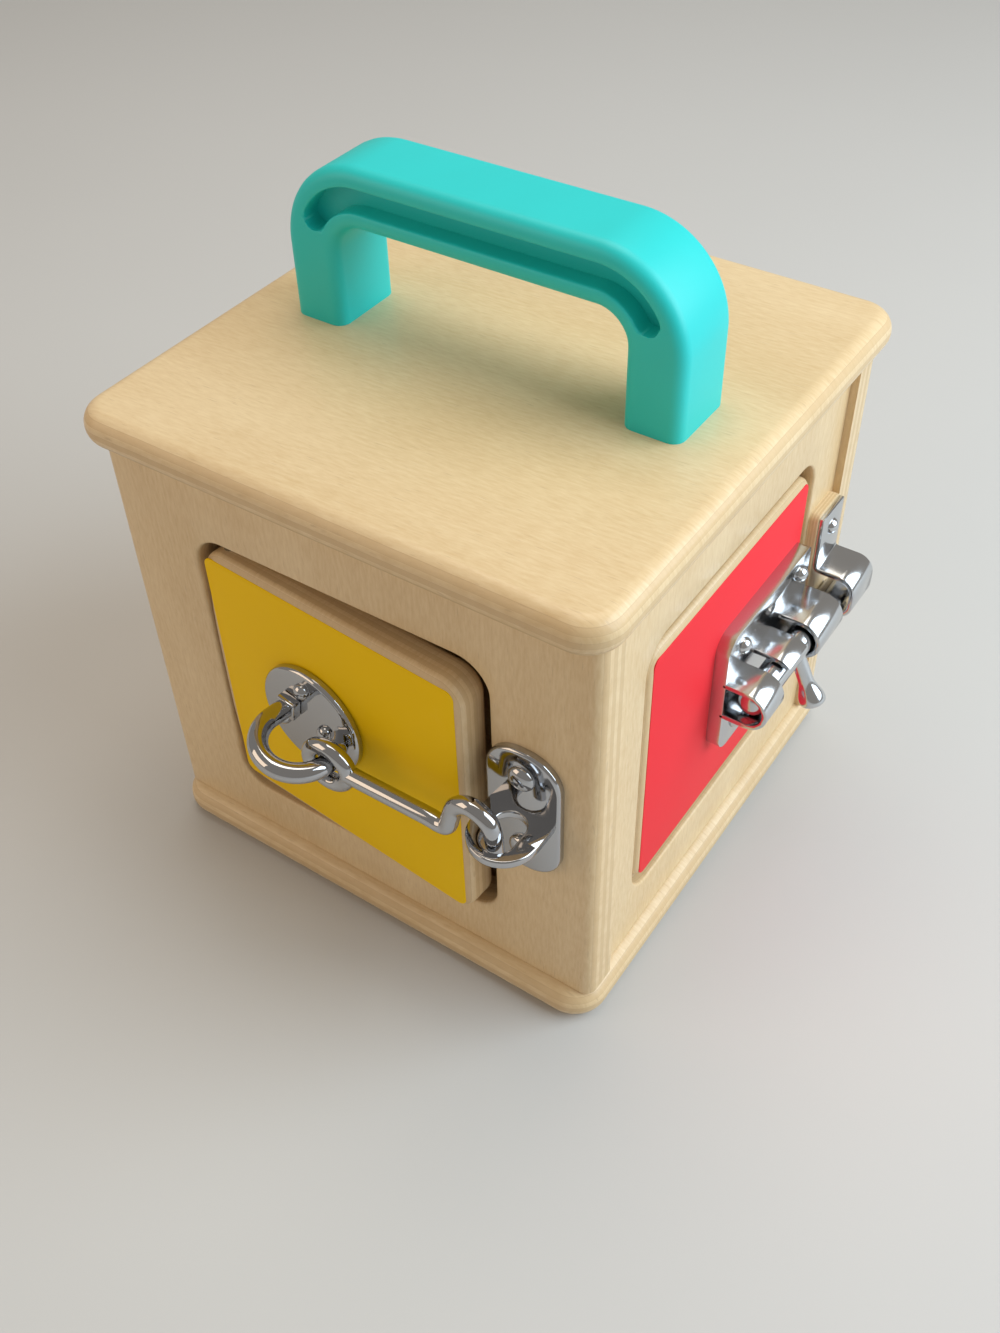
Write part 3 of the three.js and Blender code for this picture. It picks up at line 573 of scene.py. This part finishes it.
def smooth_path(points, steps=6):
    """A smooth curve through a few points of a flat path."""
    points = [Vector(point) for point in points]
    made = []
    for i in range(len(points) - 1):
        p0 = points[max(i - 1, 0)]
        p1, p2 = points[i], points[i + 1]
        p3 = points[min(i + 2, len(points) - 1)]
        for j in range(steps):
            t = j / steps
            made.append(0.5 * (
                2 * p1 + (p2 - p0) * t + (2 * p0 - 5 * p1 + 4 * p2 - p3) * t ** 2
                + (3 * p1 - p0 - 3 * p2 + p3) * t ** 3))
    return made + [points[-1]]


def dome(radius, height, base, steps=8):
    """Radius and height pairs of a dome, from its rim to its top."""
    rise = arc(0, 0, 1, 0, math.pi / 2, steps)[:-1]
    return [(radius * across, base + height * up) for across, up in rise] + [(0, base + height)]


def screws(pattern, body, place, finish="chrome"):
    """Dome-headed screws, each on the place that its CAD node gives."""
    for node in sorted(name for name in frame["nodes"] if name.startswith(pattern)):
        low, high = extent(node, place)
        radius = (high.x - low.x) / 2
        middle = (low + high) / 2
        base = high.z - SCREW_HEAD
        sunk = base - SCREW_SINK
        profile = [(0, sunk), (radius * SCREW_TAPER, sunk), *dome(radius, SCREW_HEAD, base)]
        shape = Shape()
        shape.turn(profile, Matrix.Translation((middle.x, middle.y, 0)), 32)
        shape.show(node, body, "chrome", named_finish(finish), place)


def sizes():
    return bpy.context.scene.lock_box_sizes


def front_wall():
    return wall(0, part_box("front_panel")[0].y, 0)


def right_wall():
    return wall(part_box("right_panel")[1].x, 0, math.pi / 2)


def yellow_wall():
    pin = hinge("yellow_door_hinge")
    return wall(pin.x, pin.y, -sizes().ajar)


def red_wall():
    pin = hinge("red_door_hinge")
    return wall(pin.x, pin.y, math.pi / 2)


def ply_on(node, place):
    """Plywood whose plies lie flat on a wall, with the grain upright."""
    low, high = extent(node, place)
    turn = place.to_3x3()
    out = turn @ Vector((0, 0, 1))
    grain = turn @ Vector((0, 1, 0))
    back = (place @ Vector((0, 0, low.z))).dot(out)
    return ply_finish("ply_" + node, out, high.z - low.z, back, grain)


class LOCKBOX_OT_end_boards(Operator):
    """Makes the lid and the base: plywood boards with bullnosed edges"""

    bl_idname = "lock_box.end_boards"
    bl_label = "End Boards"

    def execute(self, context):
        for node in ("base_board", "lid_board"):
            low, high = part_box(node)
            shape = Shape()
            shape.block(low, high)
            shape.round(shape.edges(upright), sizes().board_corner, 12)
            shape.round(shape.edges(level), sizes().board_nose, 10)
            finish = ply_finish("ply_" + node, (0, 0, 1), high.z - low.z, low.z, BOARD_GRAIN)
            shape.show(node, "box", "birch_ply", finish)
        return {"FINISHED"}


def doorway_panel(shape, low, high, offset):
    """A panel with a round-cornered doorway."""
    size = sizes()
    left = offset - size.doorway_width / 2
    sill = low.y + size.doorway_sill
    across = [low.x, left, left + size.doorway_width, high.x]
    up = [low.y, sill, sill + size.doorway_height, high.y]

    def inside(point):
        """Whether a point lies in the doorway or on its edge."""
        in_width = across[1] - TINY < point.x < across[2] + TINY
        return in_width and up[1] - TINY < point.y < up[2] + TINY

    cells = 3
    grid = bmesh.ops.create_grid(shape.bm, x_segments=cells, y_segments=cells, size=0.5)["verts"]
    for vert in grid:
        column = round((vert.co.x + 0.5) * cells)
        row = round((vert.co.y + 0.5) * cells)
        vert.co = (across[column], up[row], high.z)
    doorway = [face for face in shape.bm.faces if inside(face.calc_center_median())]
    bmesh.ops.delete(shape.bm, geom=doorway, context="FACES_ONLY")
    shape.push(shape.bm.faces, (0, 0, low.z - high.z))
    shape.round(shape.edges(lambda a, b: upright(a, b) and inside(a)), size.doorway_corner, 10)
    shape.round(shape.edges(lambda a, b: level(a, b) and inside(a) and inside(b)), size.eased, 3)


def round_ends(shape, low, high):
    """Rounds the outer edge at each end of a full-width panel."""

    def outer(a, b):
        on_end = same(a.x, low.x) or same(a.x, high.x)
        return on_end and same(a.x, b.x) and level(a, b) and same(a.z, high.z)

    shape.round(shape.edges(outer), sizes().panel_corner, 6)


class LOCKBOX_OT_wall_panels(Operator):
    """Makes the four plywood walls, two of them with a doorway"""

    bl_idname = "lock_box.wall_panels"
    bl_label = "Wall Panels"

    def execute(self, context):
        size = sizes()
        places = {
            "front_panel": front_wall(),
            "back_panel": wall(0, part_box("back_panel")[1].y, math.pi),
            "left_panel": wall(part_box("left_panel")[0].x, 0, -math.pi / 2),
            "right_panel": right_wall(),
        }
        offsets = {"front_panel": size.front_offset, "right_panel": size.side_offset}
        for node, place in places.items():
            low, high = extent(node, place)
            shape = Shape()
            if node in offsets:
                doorway_panel(shape, low, high, offsets[node])
            else:
                shape.block(low, high)
            if node in ("front_panel", "back_panel"):
                round_ends(shape, low, high)
            shape.show(node, "box", "birch_ply", ply_on(node, place), place)
        return {"FINISHED"}


def door_leaf(low, high, square_hinge):
    """A leaf with round corners and rounded edges. Its hinge edge can be left square."""
    size = sizes()

    def eased(a, b):
        on_hinge = same(a.x, low.x) and same(b.x, low.x)
        return level(a, b) and not (square_hinge and on_hinge)

    leaf = Shape()
    leaf.block(low, high)
    leaf.round(leaf.edges(upright), size.door_corner, 10)
    leaf.round(leaf.edges(eased), size.door_round, 6)
    return leaf


def door_face(low, high):
    """The coloured face, with its front edge just broken."""
    size = sizes()
    face = Shape()
    face.block(low, high)
    face.round(face.edges(upright), size.face_corner, 8)
    front = face.edges(lambda a, b: level(a, b) and same(a.z, high.z))
    face.round(front, size.film * 0.8, 2)
    return face


class LOCKBOX_OT_doors(Operator):
    """Makes the two doors: plywood leaves with rounded edges and a coloured face"""

    bl_idname = "lock_box.doors"
    bl_label = "Doors"

    def execute(self, context):
        film = sizes().film
        for colour, place in (("yellow", yellow_wall()), ("red", red_wall())):
            body = colour + "_door"
            facing = colour + "_facing"
            low, high = extent(body, place)
            face_low, face_high = extent(facing, place)
            high.z = face_high.z - film
            face_low.z = high.z - film
            leaf = door_leaf(low, high, square_hinge=colour == "yellow")
            leaf.show(body, body, "birch_ply", ply_on(body, place), place)
            face = door_face(face_low, face_high)
            face.show(facing, body, facing, named_finish(facing), place)
        return {"FINISHED"}


class HandleLine:
    """The middle line of the handle: two legs, two bends and the bar between them."""

    def __init__(self, low, high):
        size = sizes()
        self.centre_x = high.x - size.handle_bar - size.handle_bend
        self.centre_z = high.z - size.handle_bar - size.handle_bend
        self.radius = size.handle_bend + size.handle_bar / 2
        self.foot = low.z - self.centre_z

    def stop(self, side, turn, rise=0.0):
        """A place on one side's bend, or on its leg where `rise` takes it down to the foot."""
        out = Vector((math.cos(turn), 0, math.sin(turn)))
        place = Matrix((out, (0, 1, 0), (-out.z, 0, out.x))).transposed().to_4x4()
        centre = Vector((side * self.centre_x, 0, self.centre_z + rise))
        return Matrix.Translation(centre + out * self.radius) @ place

    def stops(self, steps=36):
        """Places all along the line, from the left foot to the right one."""
        turns = [math.pi / 2 * i / steps for i in range(steps + 1)]
        left = [self.stop(-1, math.pi - turn) for turn in turns]
        right = [self.stop(1, math.pi / 2 - turn) for turn in turns]
        return [self.stop(-1, math.pi, self.foot), *left, *right, self.stop(1, 0, self.foot)]

    def measure(self, point):
        """How far a point is off the line, and how far round the bend."""
        x = abs(point.x) - self.centre_x
        z = point.z - self.centre_z
        if x <= 0:
            return z - self.radius, math.pi / 2
        return math.hypot(x, z) - self.radius, math.atan2(z, x)


def handle_section(half_deep):
    """The handle's outline, with a point at each edge of both grooves."""
    size = sizes()
    edge = size.handle_edge
    half_bar = size.handle_bar / 2
    half_groove = size.groove_width / 2
    section = []
    for quarter, (x, y) in enumerate(((1, 1), (-1, 1), (-1, -1), (1, -1))):
        start = quarter * math.pi / 2
        section += arc(x * (half_bar - edge), y * (half_deep - edge), edge, start, start + math.pi / 2, 6)
        if x == y:
            section += [(x * half_groove, y * half_deep), (-x * half_groove, y * half_deep)]
    return section


def cut_grooves(shape, line, half_deep):
    """Sinks a round-ended groove into each side of the handle."""
    size = sizes()
    half_groove = size.groove_width / 2
    strips = {1: [], -1: []}
    for face in shape.bm.faces:
        off, turn = line.measure(face.calc_center_median())
        side = 1 if face.verts[0].co.y > 0 else -1
        flat = all(same(vert.co.y, side * half_deep) for vert in face.verts)
        if flat and abs(off) < half_groove and turn > size.groove_end:
            strips[side].append(face)

    # The rim is drawn in towards each end, down to a quarter of its width at the very end
    for vert in shape.bm.verts:
        off, turn = line.measure(vert.co)
        from_end = (turn - size.groove_end) * line.radius
        on_rim = same(abs(vert.co.y), half_deep) and same(abs(off), half_groove)
        if on_rim and -TINY < from_end < half_groove:
            to_full = half_groove - max(from_end, 0)
            half = max(math.sqrt(half_groove ** 2 - to_full ** 2), half_groove / 4)
            radius = line.radius + math.copysign(half, off)
            vert.co.x = math.copysign(line.centre_x + radius * math.cos(turn), vert.co.x)
            vert.co.z = line.centre_z + radius * math.sin(turn)

    for side, strip in strips.items():
        shape.push(strip, (0, -side * size.groove_depth, 0))
        covered = [face for face in strip if face.is_valid]
        bmesh.ops.delete(shape.bm, geom=covered, context="FACES")


class LOCKBOX_OT_handle(Operator):
    """Makes the moulded handle, with a groove along each side"""

    bl_idname = "lock_box.handle"
    bl_label = "Handle"

    def execute(self, context):
        low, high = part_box("handle")
        line = HandleLine(low, high)
        shape = Shape()
        shape.sweep(handle_section(high.y), line.stops())
        cut_grooves(shape, line, high.y)
        past_end = sizes().groove_end + GROOVE_SHARP_END

        def on_rim(vert):
            turn = line.measure(vert.co)[1]
            return same(abs(vert.co.y), high.y) and turn > past_end

        shape.round(shape.corners(on_rim), GROOVE_RIM, 3)
        shape.show("handle", "box", "teal_plastic", named_finish("teal_plastic"), crease=40)
        return {"FINISHED"}


def hook_plate(place):
    """The round plate that carries the staple."""
    low, high = extent("hook_plate", place)
    middle = (low + high) / 2
    radius = (high.x - low.x) / 2
    seat = extent("yellow_facing", place)[1].z
    foot = [(0, seat), (radius - PLATE_FOOT, seat), (radius, seat + PLATE_FOOT)]
    rim = arc(radius - PLATE_RIM, high.z - PLATE_RIM, PLATE_RIM, 0, math.pi / 2, 6)
    plate = Shape()
    plate.turn([*foot, *rim, (0, high.z)], Matrix.Translation((middle.x, middle.y, 0)), 72)
    plate.show("hook_plate", "yellow_door", "chrome", named_finish("chrome"), place)


def hook_staple(place):
    """The bent wire that the hook hangs on, and the square collar at its left foot."""
    size = sizes()
    low, high = extent("hook_plate", place)
    middle = (low + high) / 2
    on_plate = Matrix.Translation((middle.x, middle.y + size.staple_rise, high.z))
    lean = on_plate @ Matrix.Rotation(size.staple_tilt, 4, "Z")
    sink = math.asin(size.staple_out / size.staple_radius)
    bow = arc(size.staple_offset, size.staple_out, size.staple_radius, -sink, math.pi, 36)
    foot = size.staple_offset - size.staple_radius + STAPLE_FOOT_INWARD
    path = [(x, 0, z) for x, z in [*bow, (foot, 0)]]
    wire = Shape()
    wire.sweep(ring(size.staple_wire / 2), along_path(path, (0, 1, 0)))
    half = size.collar_width / 2
    collar = wire.block((foot - half, -half, 0), (foot + half, half, size.collar_height))
    wire.round(list({edge for vert in collar for edge in vert.link_edges}), COLLAR_EDGE, 2)
    wire.show("hook_staple", "yellow_door", "chrome", named_finish("chrome"), place @ lean)


def hook():
    """An eye on the staple, a straight shank, a raised neck and a tip turned down into the tab."""
    size = sizes()
    eye_wire = size.hook_eye_wire / 2
    eye_radius = size.hook_eye_hole / 2 + eye_wire
    low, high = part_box("hook")
    eye_height = hinge("hook_lift").z
    eye = wall(low.x + eye_radius + eye_wire, (low.y + high.y) / 2, 0)
    reach = high.x - size.hook_wire / 2 - eye.translation.x
    rise = high.z - size.hook_wire / 2 - eye_height
    tip = size.tab_top - size.tab_sheet - HOOK_TIP_BELOW - eye_height
    neck = reach - size.hook_neck_run
    shank = [(eye_radius, 0), (neck / 2, 0), (neck - 4 * MM, 0), (neck - 0.6 * MM, -0.3 * MM)]
    climb = [(neck + 1.6 * MM, 0.5 * MM), (neck + 2.8 * MM, rise * 0.42), (neck + 4.2 * MM, rise * 0.78)]
    crown = [(neck + 7.8 * MM, rise), (reach - 2.4 * MM, rise * 0.88)]
    drop = [(reach - 0.5 * MM, rise * 0.58), (reach, tip)]
    path = smooth_path([(x, y, 0) for x, y in shank + climb + crown + drop])
    shape = Shape()
    shape.sweep(ring(size.hook_wire / 2), along_path(path, (0, 0, 1)))
    shape.turn(arc(eye_radius, 0, eye_wire, 0, 2 * math.pi, 20), Matrix(), 48)
    place = Matrix.Translation((0, 0, eye_height)) @ eye
    shape.show("hook", "hook", "chrome", named_finish("chrome"), place)


class LOCKBOX_OT_hook_latch(Operator):
    """Makes the hook latch: round plate, staple, hook and screws"""

    bl_idname = "lock_box.hook_latch"
    bl_label = "Hook Latch"

    def execute(self, context):
        place = yellow_wall()
        hook_plate(place)
        screws("hook_plate_screw", "yellow_door", place)
        hook_staple(place)
        hook()
        return {"FINISHED"}


def eye_tab(plate, middle, reach):
    """A flat tab round a slot, whose inner half runs back into the plate."""
    size = sizes()
    round_end = size.slot_width / 2
    wide = size.tab_radius / round_end
    longer = size.slot_length / 2 - round_end
    centre = reach - size.tab_radius
    root = size.eye_sheet / 2 - centre
    known = set(plate.bm.verts)
    slot = bmesh.ops.create_circle(plate.bm, cap_ends=False, radius=round_end, segments=48)["verts"]
    edges = list({edge for vert in slot for edge in vert.link_edges})
    made = bmesh.ops.extrude_edge_only(plate.bm, edges=edges)["geom"]
    for vert in (item for item in made if isinstance(item, bmesh.types.BMVert)):
        y = root if vert.co.y < -TINY else vert.co.y * wide
        vert.co = (vert.co.x * wide, y, 0)
    for vert in slot:
        if abs(vert.co.y) > TINY:
            vert.co.y += math.copysign(longer, vert.co.y)
    plate.push({face for vert in slot for face in vert.link_faces}, (0, 0, size.tab_sheet))
    tab = {vert for vert in plate.bm.verts if vert not in known}
    lay_flat = Matrix(((1, 0, 0, 0), (0, 0, 1, 0), (0, 1, 0, 0), (0, 0, 0, 1)))
    stand = Matrix.Translation((middle, size.tab_top - size.tab_sheet, centre)) @ lay_flat
    bmesh.ops.transform(plate.bm, verts=list(tab), matrix=stand)
    rims = plate.corners(lambda vert: vert in tab and vert.co.z > size.eye_sheet)
    plate.round(rims, TAB_EDGE, 3)


class LOCKBOX_OT_eye_plate(Operator):
    """Makes the plate whose tab takes the hook, and its screws"""

    bl_idname = "lock_box.eye_plate"
    bl_label = "Eye Plate"

    def execute(self, context):
        sheet = sizes().eye_sheet
        place = front_wall()
        low, high = extent("eye_plate", place)
        plate = Shape()
        plate.block(low, (high.x, high.y, sheet))
        plate.round(plate.edges(upright), (high.x - low.x) / 2 - EYE_PLATE_FLAT, 12)
        plate.round(plate.edges(lambda a, b: level(a, b) and same(a.z, sheet)), EYE_PLATE_EDGE, 4)
        eye_tab(plate, (low.x + high.x) / 2, high.z)
        plate.show("eye_plate", "box", "chrome", named_finish("chrome"), place)
        screws("eye_plate_screw", "box", place)
        return {"FINISHED"}


def bolt_plate(body, low, high, seat, top, place):
    """The flat plate under the arches, with two spare screw holes."""
    size = sizes()
    hinge_end = size.bolt_hinge_corner
    free_end = size.bolt_free_corner
    corners = (
        (high.x - free_end, high.y - free_end, free_end),
        (low.x + hinge_end, high.y - hinge_end, hinge_end),
        (low.x + hinge_end, low.y + hinge_end, hinge_end),
        (high.x - free_end, low.y + free_end, free_end),
    )
    outline = []
    for quarter, (x, y, radius) in enumerate(corners):
        outline += arc(x, y, radius, quarter * math.pi / 2, (quarter + 1) * math.pi / 2, 8)
    spots = [sum(extent(f"bolt_screw_{i + 1}", place), Vector()) / 2 for i in range(4)]
    holes = []
    for one, two in (spots[:2], spots[2:]):
        between = (one.x + two.x) / 2
        holes.append([(between + x, one.y + y) for x, y in ring(size.spare_hole / 2, 24)])
    body.plate(outline, holes, seat, top)
    body.round(body.corners(lambda vert: same(vert.co.z, top)), BOLT_PLATE_EDGE, 3)


def bolt_arches(body, low, high, axis, top):
    """Three arches over the rod. The middle one is open on one side, for the knob."""
    size = sizes()
    outer = size.bolt_collar
    inner = outer - size.bolt_sheet
    foot = top - ARCH_SINK
    part_way = math.acos(size.bolt_slot / outer)
    second = low.x + size.bolt_collar_width + size.bolt_notch
    third = second + size.bolt_collar_width + size.bolt_notch
    spans = (
        (low.x, size.bolt_collar_width, math.pi),
        (second, size.bolt_collar_width, part_way),
        (third, high.x - third, math.pi),
    )
    for start, width, sweep in spans:
        over = arc(0, axis.z, outer, 0, sweep, 22)
        under = arc(0, axis.z, inner, sweep, 0, 22)
        far_foot = [(-outer, foot), (-inner, foot)] if sweep == math.pi else []
        outline = [(outer, foot), *over, *far_foot, *under, (inner, foot)]
        known = set(body.bm.verts)
        end = body.flat([(start, axis.y + x, z) for x, z in outline])
        body.push([end], (width, 0, 0))
        fresh = set(body.bm.verts) - known
        rims = body.corners(fresh.__contains__)
        body.round([edge for edge in rims if same(edge.verts[0].co.x, edge.verts[1].co.x)], ARCH_EDGE, 2)


def bolt_rod(place, low, high, axis):
    """The round rod, with a domed nose at both ends."""
    radius = (high.y - low.y) / 2
    nose = radius * ROD_NOSE
    free_end = dome(radius, nose, high.x - nose)
    hinge_end = [(across, low.x + high.x - along) for across, along in reversed(free_end)]
    rod = Shape()
    lie = Matrix.Translation((0, axis.y, axis.z)) @ Matrix.Rotation(math.pi / 2, 4, "Y")
    rod.turn(hinge_end + free_end, lie, 40)
    rod.show("bolt_rod", "bolt_rod", "chrome", named_finish("nickel"), place)


def bolt_knob(place, rod_radius, axis):
    """A thin stem that swells to a bell, hanging off the rod."""
    size = sizes()
    low, high = extent("bolt_knob", place)
    stem = size.knob_stem / 2
    end = size.knob_end / 2
    neck = size.knob_length - size.knob_flare
    bell = size.knob_flare * KNOB_BELL
    steps = 8
    swell = []
    for i in range(steps + 1):
        share = 0.5 - 0.5 * math.cos(math.pi * i / steps)
        swell.append((stem + (end - stem) * share, neck + bell * i / steps))
    cap = dome(end, size.knob_flare - bell, neck + bell)[1:]
    root = rod_radius * KNOB_ROOT
    spot = Matrix.Translation(((low.x + high.x) / 2, axis.y, axis.z))
    knob = Shape()
    knob.turn([(0, root), (stem, root), *swell, *cap], spot @ Matrix.Rotation(size.knob_hang, 4, "X"), 36)
    knob.show("bolt_knob", "bolt_knob", "chrome", named_finish("nickel"), place)


class LOCKBOX_OT_barrel_bolt(Operator):
    """Makes the barrel bolt: plate with three arches, screws, rod and knob"""

    bl_idname = "lock_box.barrel_bolt"
    bl_label = "Barrel Bolt"

    def execute(self, context):
        place = red_wall()
        low, high = extent("bolt_body", place)
        rod_low, rod_high = extent("bolt_rod", place)
        axis = (rod_low + rod_high) / 2
        seat = extent("red_facing", place)[1].z
        top = low.z + sizes().bolt_plate
        body = Shape()
        bolt_plate(body, low, high, seat, top, place)
        bolt_arches(body, low, high, axis, top)
        body.show("bolt_body", "red_door", "chrome", named_finish("nickel"), place)
        screws("bolt_screw", "red_door", place, "nickel")
        bolt_rod(place, rod_low, rod_high, axis)
        bolt_knob(place, (rod_high.y - rod_low.y) / 2, axis)
        return {"FINISHED"}


def keeper_block(place):
    """The wooden block that packs the keeper out."""
    low, high = extent("keeper_block", place)
    packing = Shape()
    packing.block(low, high)
    packing.round(packing.edges(upright), PACKING_CORNER, 5)
    packing.round(packing.edges(lambda a, b: level(a, b) and same(a.z, high.z)), PACKING_EDGE, 2)
    packing.show("keeper_block", "box", "birch_ply", ply_on("keeper_block", place), place)


def keeper_strap(place):
    """A strip of metal bent over the rod, with a foot at each end."""
    size = sizes()
    low, high = extent("keeper", place)
    middle = (low.y + high.y) / 2 + size.keeper_rise
    left = middle - size.keeper_half
    right = middle + size.keeper_half
    seat = low.z + size.keeper_sheet
    line = [
        (low.y, seat), (left, seat), (left, high.z), (right, high.z), (right, seat), (high.y, seat)]
    strap = Shape()
    for (y0, z0), (y1, z1) in zip(line, line[1:]):
        strap.flat([(low.x, y0, z0), (low.x, y1, z1), (high.x, y1, z1), (high.x, y0, z0)])
    bmesh.ops.remove_doubles(strap.bm, verts=strap.bm.verts, dist=TINY)

    def top_bend(a, b):
        return level(a, b) and same(a.y, b.y) and same(a.z, high.z)

    def foot_bend(a, b):
        on_loop = same(a.y, left) or same(a.y, right)
        return on_loop and level(a, b) and same(a.y, b.y) and same(a.z, seat)

    strap.round(strap.edges(top_bend), size.keeper_corner, 10)
    strap.round(strap.edges(foot_bend), KEEPER_FOOT_BEND, 4)
    bmesh.ops.recalc_face_normals(strap.bm, faces=strap.bm.faces)
    top = max(strap.bm.faces, key=lambda face: face.calc_center_median().z)
    inward = size.keeper_sheet if top.normal.z > 0 else -size.keeper_sheet
    bmesh.ops.solidify(strap.bm, geom=strap.bm.faces, thickness=inward)
    strap.round(strap.corners(lambda vert: True), KEEPER_EDGE, 2)
    strap.show("keeper", "box", "chrome", named_finish("nickel"), place)


class LOCKBOX_OT_keeper(Operator):
    """Makes the bent keeper, its wooden packing block and its screws"""

    bl_idname = "lock_box.keeper"
    bl_label = "Keeper"

    def execute(self, context):
        place = right_wall()
        keeper_block(place)
        keeper_strap(place)
        screws("keeper_screw", "box", place, "nickel")
        return {"FINISHED"}


class LOCKBOX_OT_inner_fittings(Operator):
    """Finishes the dowels, pins, stops and handle screws, whose solids are already right"""

    bl_idname = "lock_box.inner_fittings"
    bl_label = "Inner Fittings"

    def execute(self, context):
        for name, node in frame["nodes"].items():
            if "dowel" in name:
                low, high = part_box(name)
                finish = ply_finish("dowel_" + name, (0, 1, 0), high.y - low.y, low.y, (0, 0, 1))
            elif "hinge_pin" in name or "handle_screw" in name:
                finish = named_finish("plain_steel")
            elif "door_stop" in name:
                low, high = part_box(name)
                finish = ply_finish("batten_" + name, (1, 0, 0), high.x - low.x, low.x, (0, 0, 1))
            else:
                continue
            node.data.materials.clear()
            node.data.materials.append(finish)
        return {"FINISHED"}


# The floor, in metres: it thins out over FLOOR_FADE, and is gone at FLOOR_END from the box
FLOOR_HALF = 3
FLOOR_END = 1.9
FLOOR_FADE = 1.15

SKY_COLOUR = (1, 0.93, 0.84, 1)
SKY_STRENGTH = 0.32

# Place, width, power and colour of each lamp, and where they point
LAMPS = {
    "window": ((0.75, 0.3, 0.6), 0.9, 11.5, (0.77, 0.9, 1)),
    "overhead": ((-0.1, 0.2, 1.1), 0.7, 4.6, (1, 0.93, 0.82)),
    "fill": ((-0.7, -0.8, 0.5), 0.7, 2.4, (1, 0.76, 0.54)),
}
LAMP_AIM = (0, 0, 0.08)

PICTURE_HEIGHT = 1333
FOCAL_PIXELS = 1394.8
CAMERA_SPOT = (0.1603, -0.23025, 0.30852)
CAMERA_AZIMUTH = math.radians(35.31)
CAMERA_ELEVATION = math.radians(44.21)
CAMERA_ROLL = math.radians(-1.775)


def studio_floor(scene):
    """A plain floor that thins out far from the box, so that no edge shows against the sky."""
    graph = Graph("studio_floor")
    mottle = graph.noise(graph.place, 6, detail=3)
    colour = scene.lock_box_colours.floor
    far = graph.add("ShaderNodeVectorMath", {"operation": "LENGTH"}, {0: graph.place}, "Value")
    graph.done({
        "Base Color": graph.mix(mottle, shade(colour, 0.97), colour),
        "Roughness": 0.75 + mottle * 0.1,
        "Alpha": ((FLOOR_END - far) / FLOOR_FADE).clamped(),
    })
    sheet = bmesh.new()
    bmesh.ops.create_grid(sheet, x_segments=1, y_segments=1, size=FLOOR_HALF)
    mesh = bpy.data.meshes.new("studio_floor")
    sheet.to_mesh(mesh)
    sheet.free()
    mesh.materials.append(graph.material)
    floor = bpy.data.objects.new("studio_floor", mesh)
    scene.collection.objects.link(floor)


def studio_lights(scene):
    """A dim warm room, a large cool window on the right, and two weaker warm lamps."""
    world = bpy.data.worlds.new("studio")
    world.use_nodes = True
    sky = world.node_tree.nodes["Background"]
    sky.inputs["Color"].default_value = SKY_COLOUR
    sky.inputs["Strength"].default_value = SKY_STRENGTH
    scene.world = world
    for name, (spot, wide, power, colour) in LAMPS.items():
        light = bpy.data.lights.new(name, "AREA")
        light.energy = power
        light.size = wide
        light.color = colour
        lamp = bpy.data.objects.new(name, light)
        lamp.location = spot
        lamp.rotation_euler = (Vector(spot) - Vector(LAMP_AIM)).to_track_quat("Z", "Y").to_euler()
        scene.collection.objects.link(lamp)


def photo_camera(scene):
    """The camera, where the photograph's edges place it."""
    camera = bpy.data.objects.new("camera", bpy.data.cameras.new("camera"))
    camera.data.lens = camera.data.sensor_width * FOCAL_PIXELS / PICTURE_HEIGHT
    camera.data.clip_start = 0.01
    turn = Matrix.Rotation(CAMERA_AZIMUTH, 4, "Z")
    tilt = Matrix.Rotation(math.pi / 2 - CAMERA_ELEVATION, 4, "X")
    roll = Matrix.Rotation(CAMERA_ROLL, 4, "Z")
    camera.matrix_world = Matrix.Translation(CAMERA_SPOT) @ turn @ tilt @ roll
    scene.collection.objects.link(camera)
    scene.camera = camera


class LOCKBOX_OT_stage(Operator):
    """Sets the floor, the soft lights and the camera"""

    bl_idname = "lock_box.stage"
    bl_label = "Stage"

    def execute(self, context):
        context.scene.view_settings.view_transform = "Standard"
        studio_floor(context.scene)
        studio_lights(context.scene)
        photo_camera(context.scene)
        return {"FINISHED"}


OPERATORS = (
    LOCKBOX_OT_end_boards,
    LOCKBOX_OT_wall_panels,
    LOCKBOX_OT_doors,
    LOCKBOX_OT_handle,
    LOCKBOX_OT_hook_latch,
    LOCKBOX_OT_eye_plate,
    LOCKBOX_OT_barrel_bolt,
    LOCKBOX_OT_keeper,
    LOCKBOX_OT_inner_fittings,
    LOCKBOX_OT_stage,
)


class LOCKBOX_PT_sidebar(Panel):
    """Lists the steps that dress the lock box"""

    bl_idname = "LOCKBOX_PT_sidebar"
    bl_label = "Lock Box"
    bl_space_type = "VIEW_3D"
    bl_region_type = "UI"
    bl_category = "Lock Box"

    def draw(self, context):
        for operator in OPERATORS:
            self.layout.operator(operator.bl_idname)
        for group in (context.scene.lock_box_sizes, context.scene.lock_box_colours):
            for name in group.__annotations__:
                self.layout.prop(group, name)


CLASSES = (LockBoxSizes, LockBoxColours, *OPERATORS, LOCKBOX_PT_sidebar)


def register():
    for item in CLASSES:
        bpy.utils.register_class(item)
    bpy.types.Scene.lock_box_sizes = PointerProperty(type=LockBoxSizes)
    bpy.types.Scene.lock_box_colours = PointerProperty(type=LockBoxColours)


def unregister():
    del bpy.types.Scene.lock_box_colours
    del bpy.types.Scene.lock_box_sizes
    for item in reversed(CLASSES):
        bpy.utils.unregister_class(item)


def main():
    register()
    bpy.ops.lock_box.end_boards()
    bpy.ops.lock_box.wall_panels()
    bpy.ops.lock_box.doors()
    bpy.ops.lock_box.handle()
    bpy.ops.lock_box.hook_latch()
    bpy.ops.lock_box.eye_plate()
    bpy.ops.lock_box.barrel_bolt()
    bpy.ops.lock_box.keeper()
    bpy.ops.lock_box.inner_fittings()
    bpy.ops.lock_box.stage()


if __name__ == "__main__":
    main()
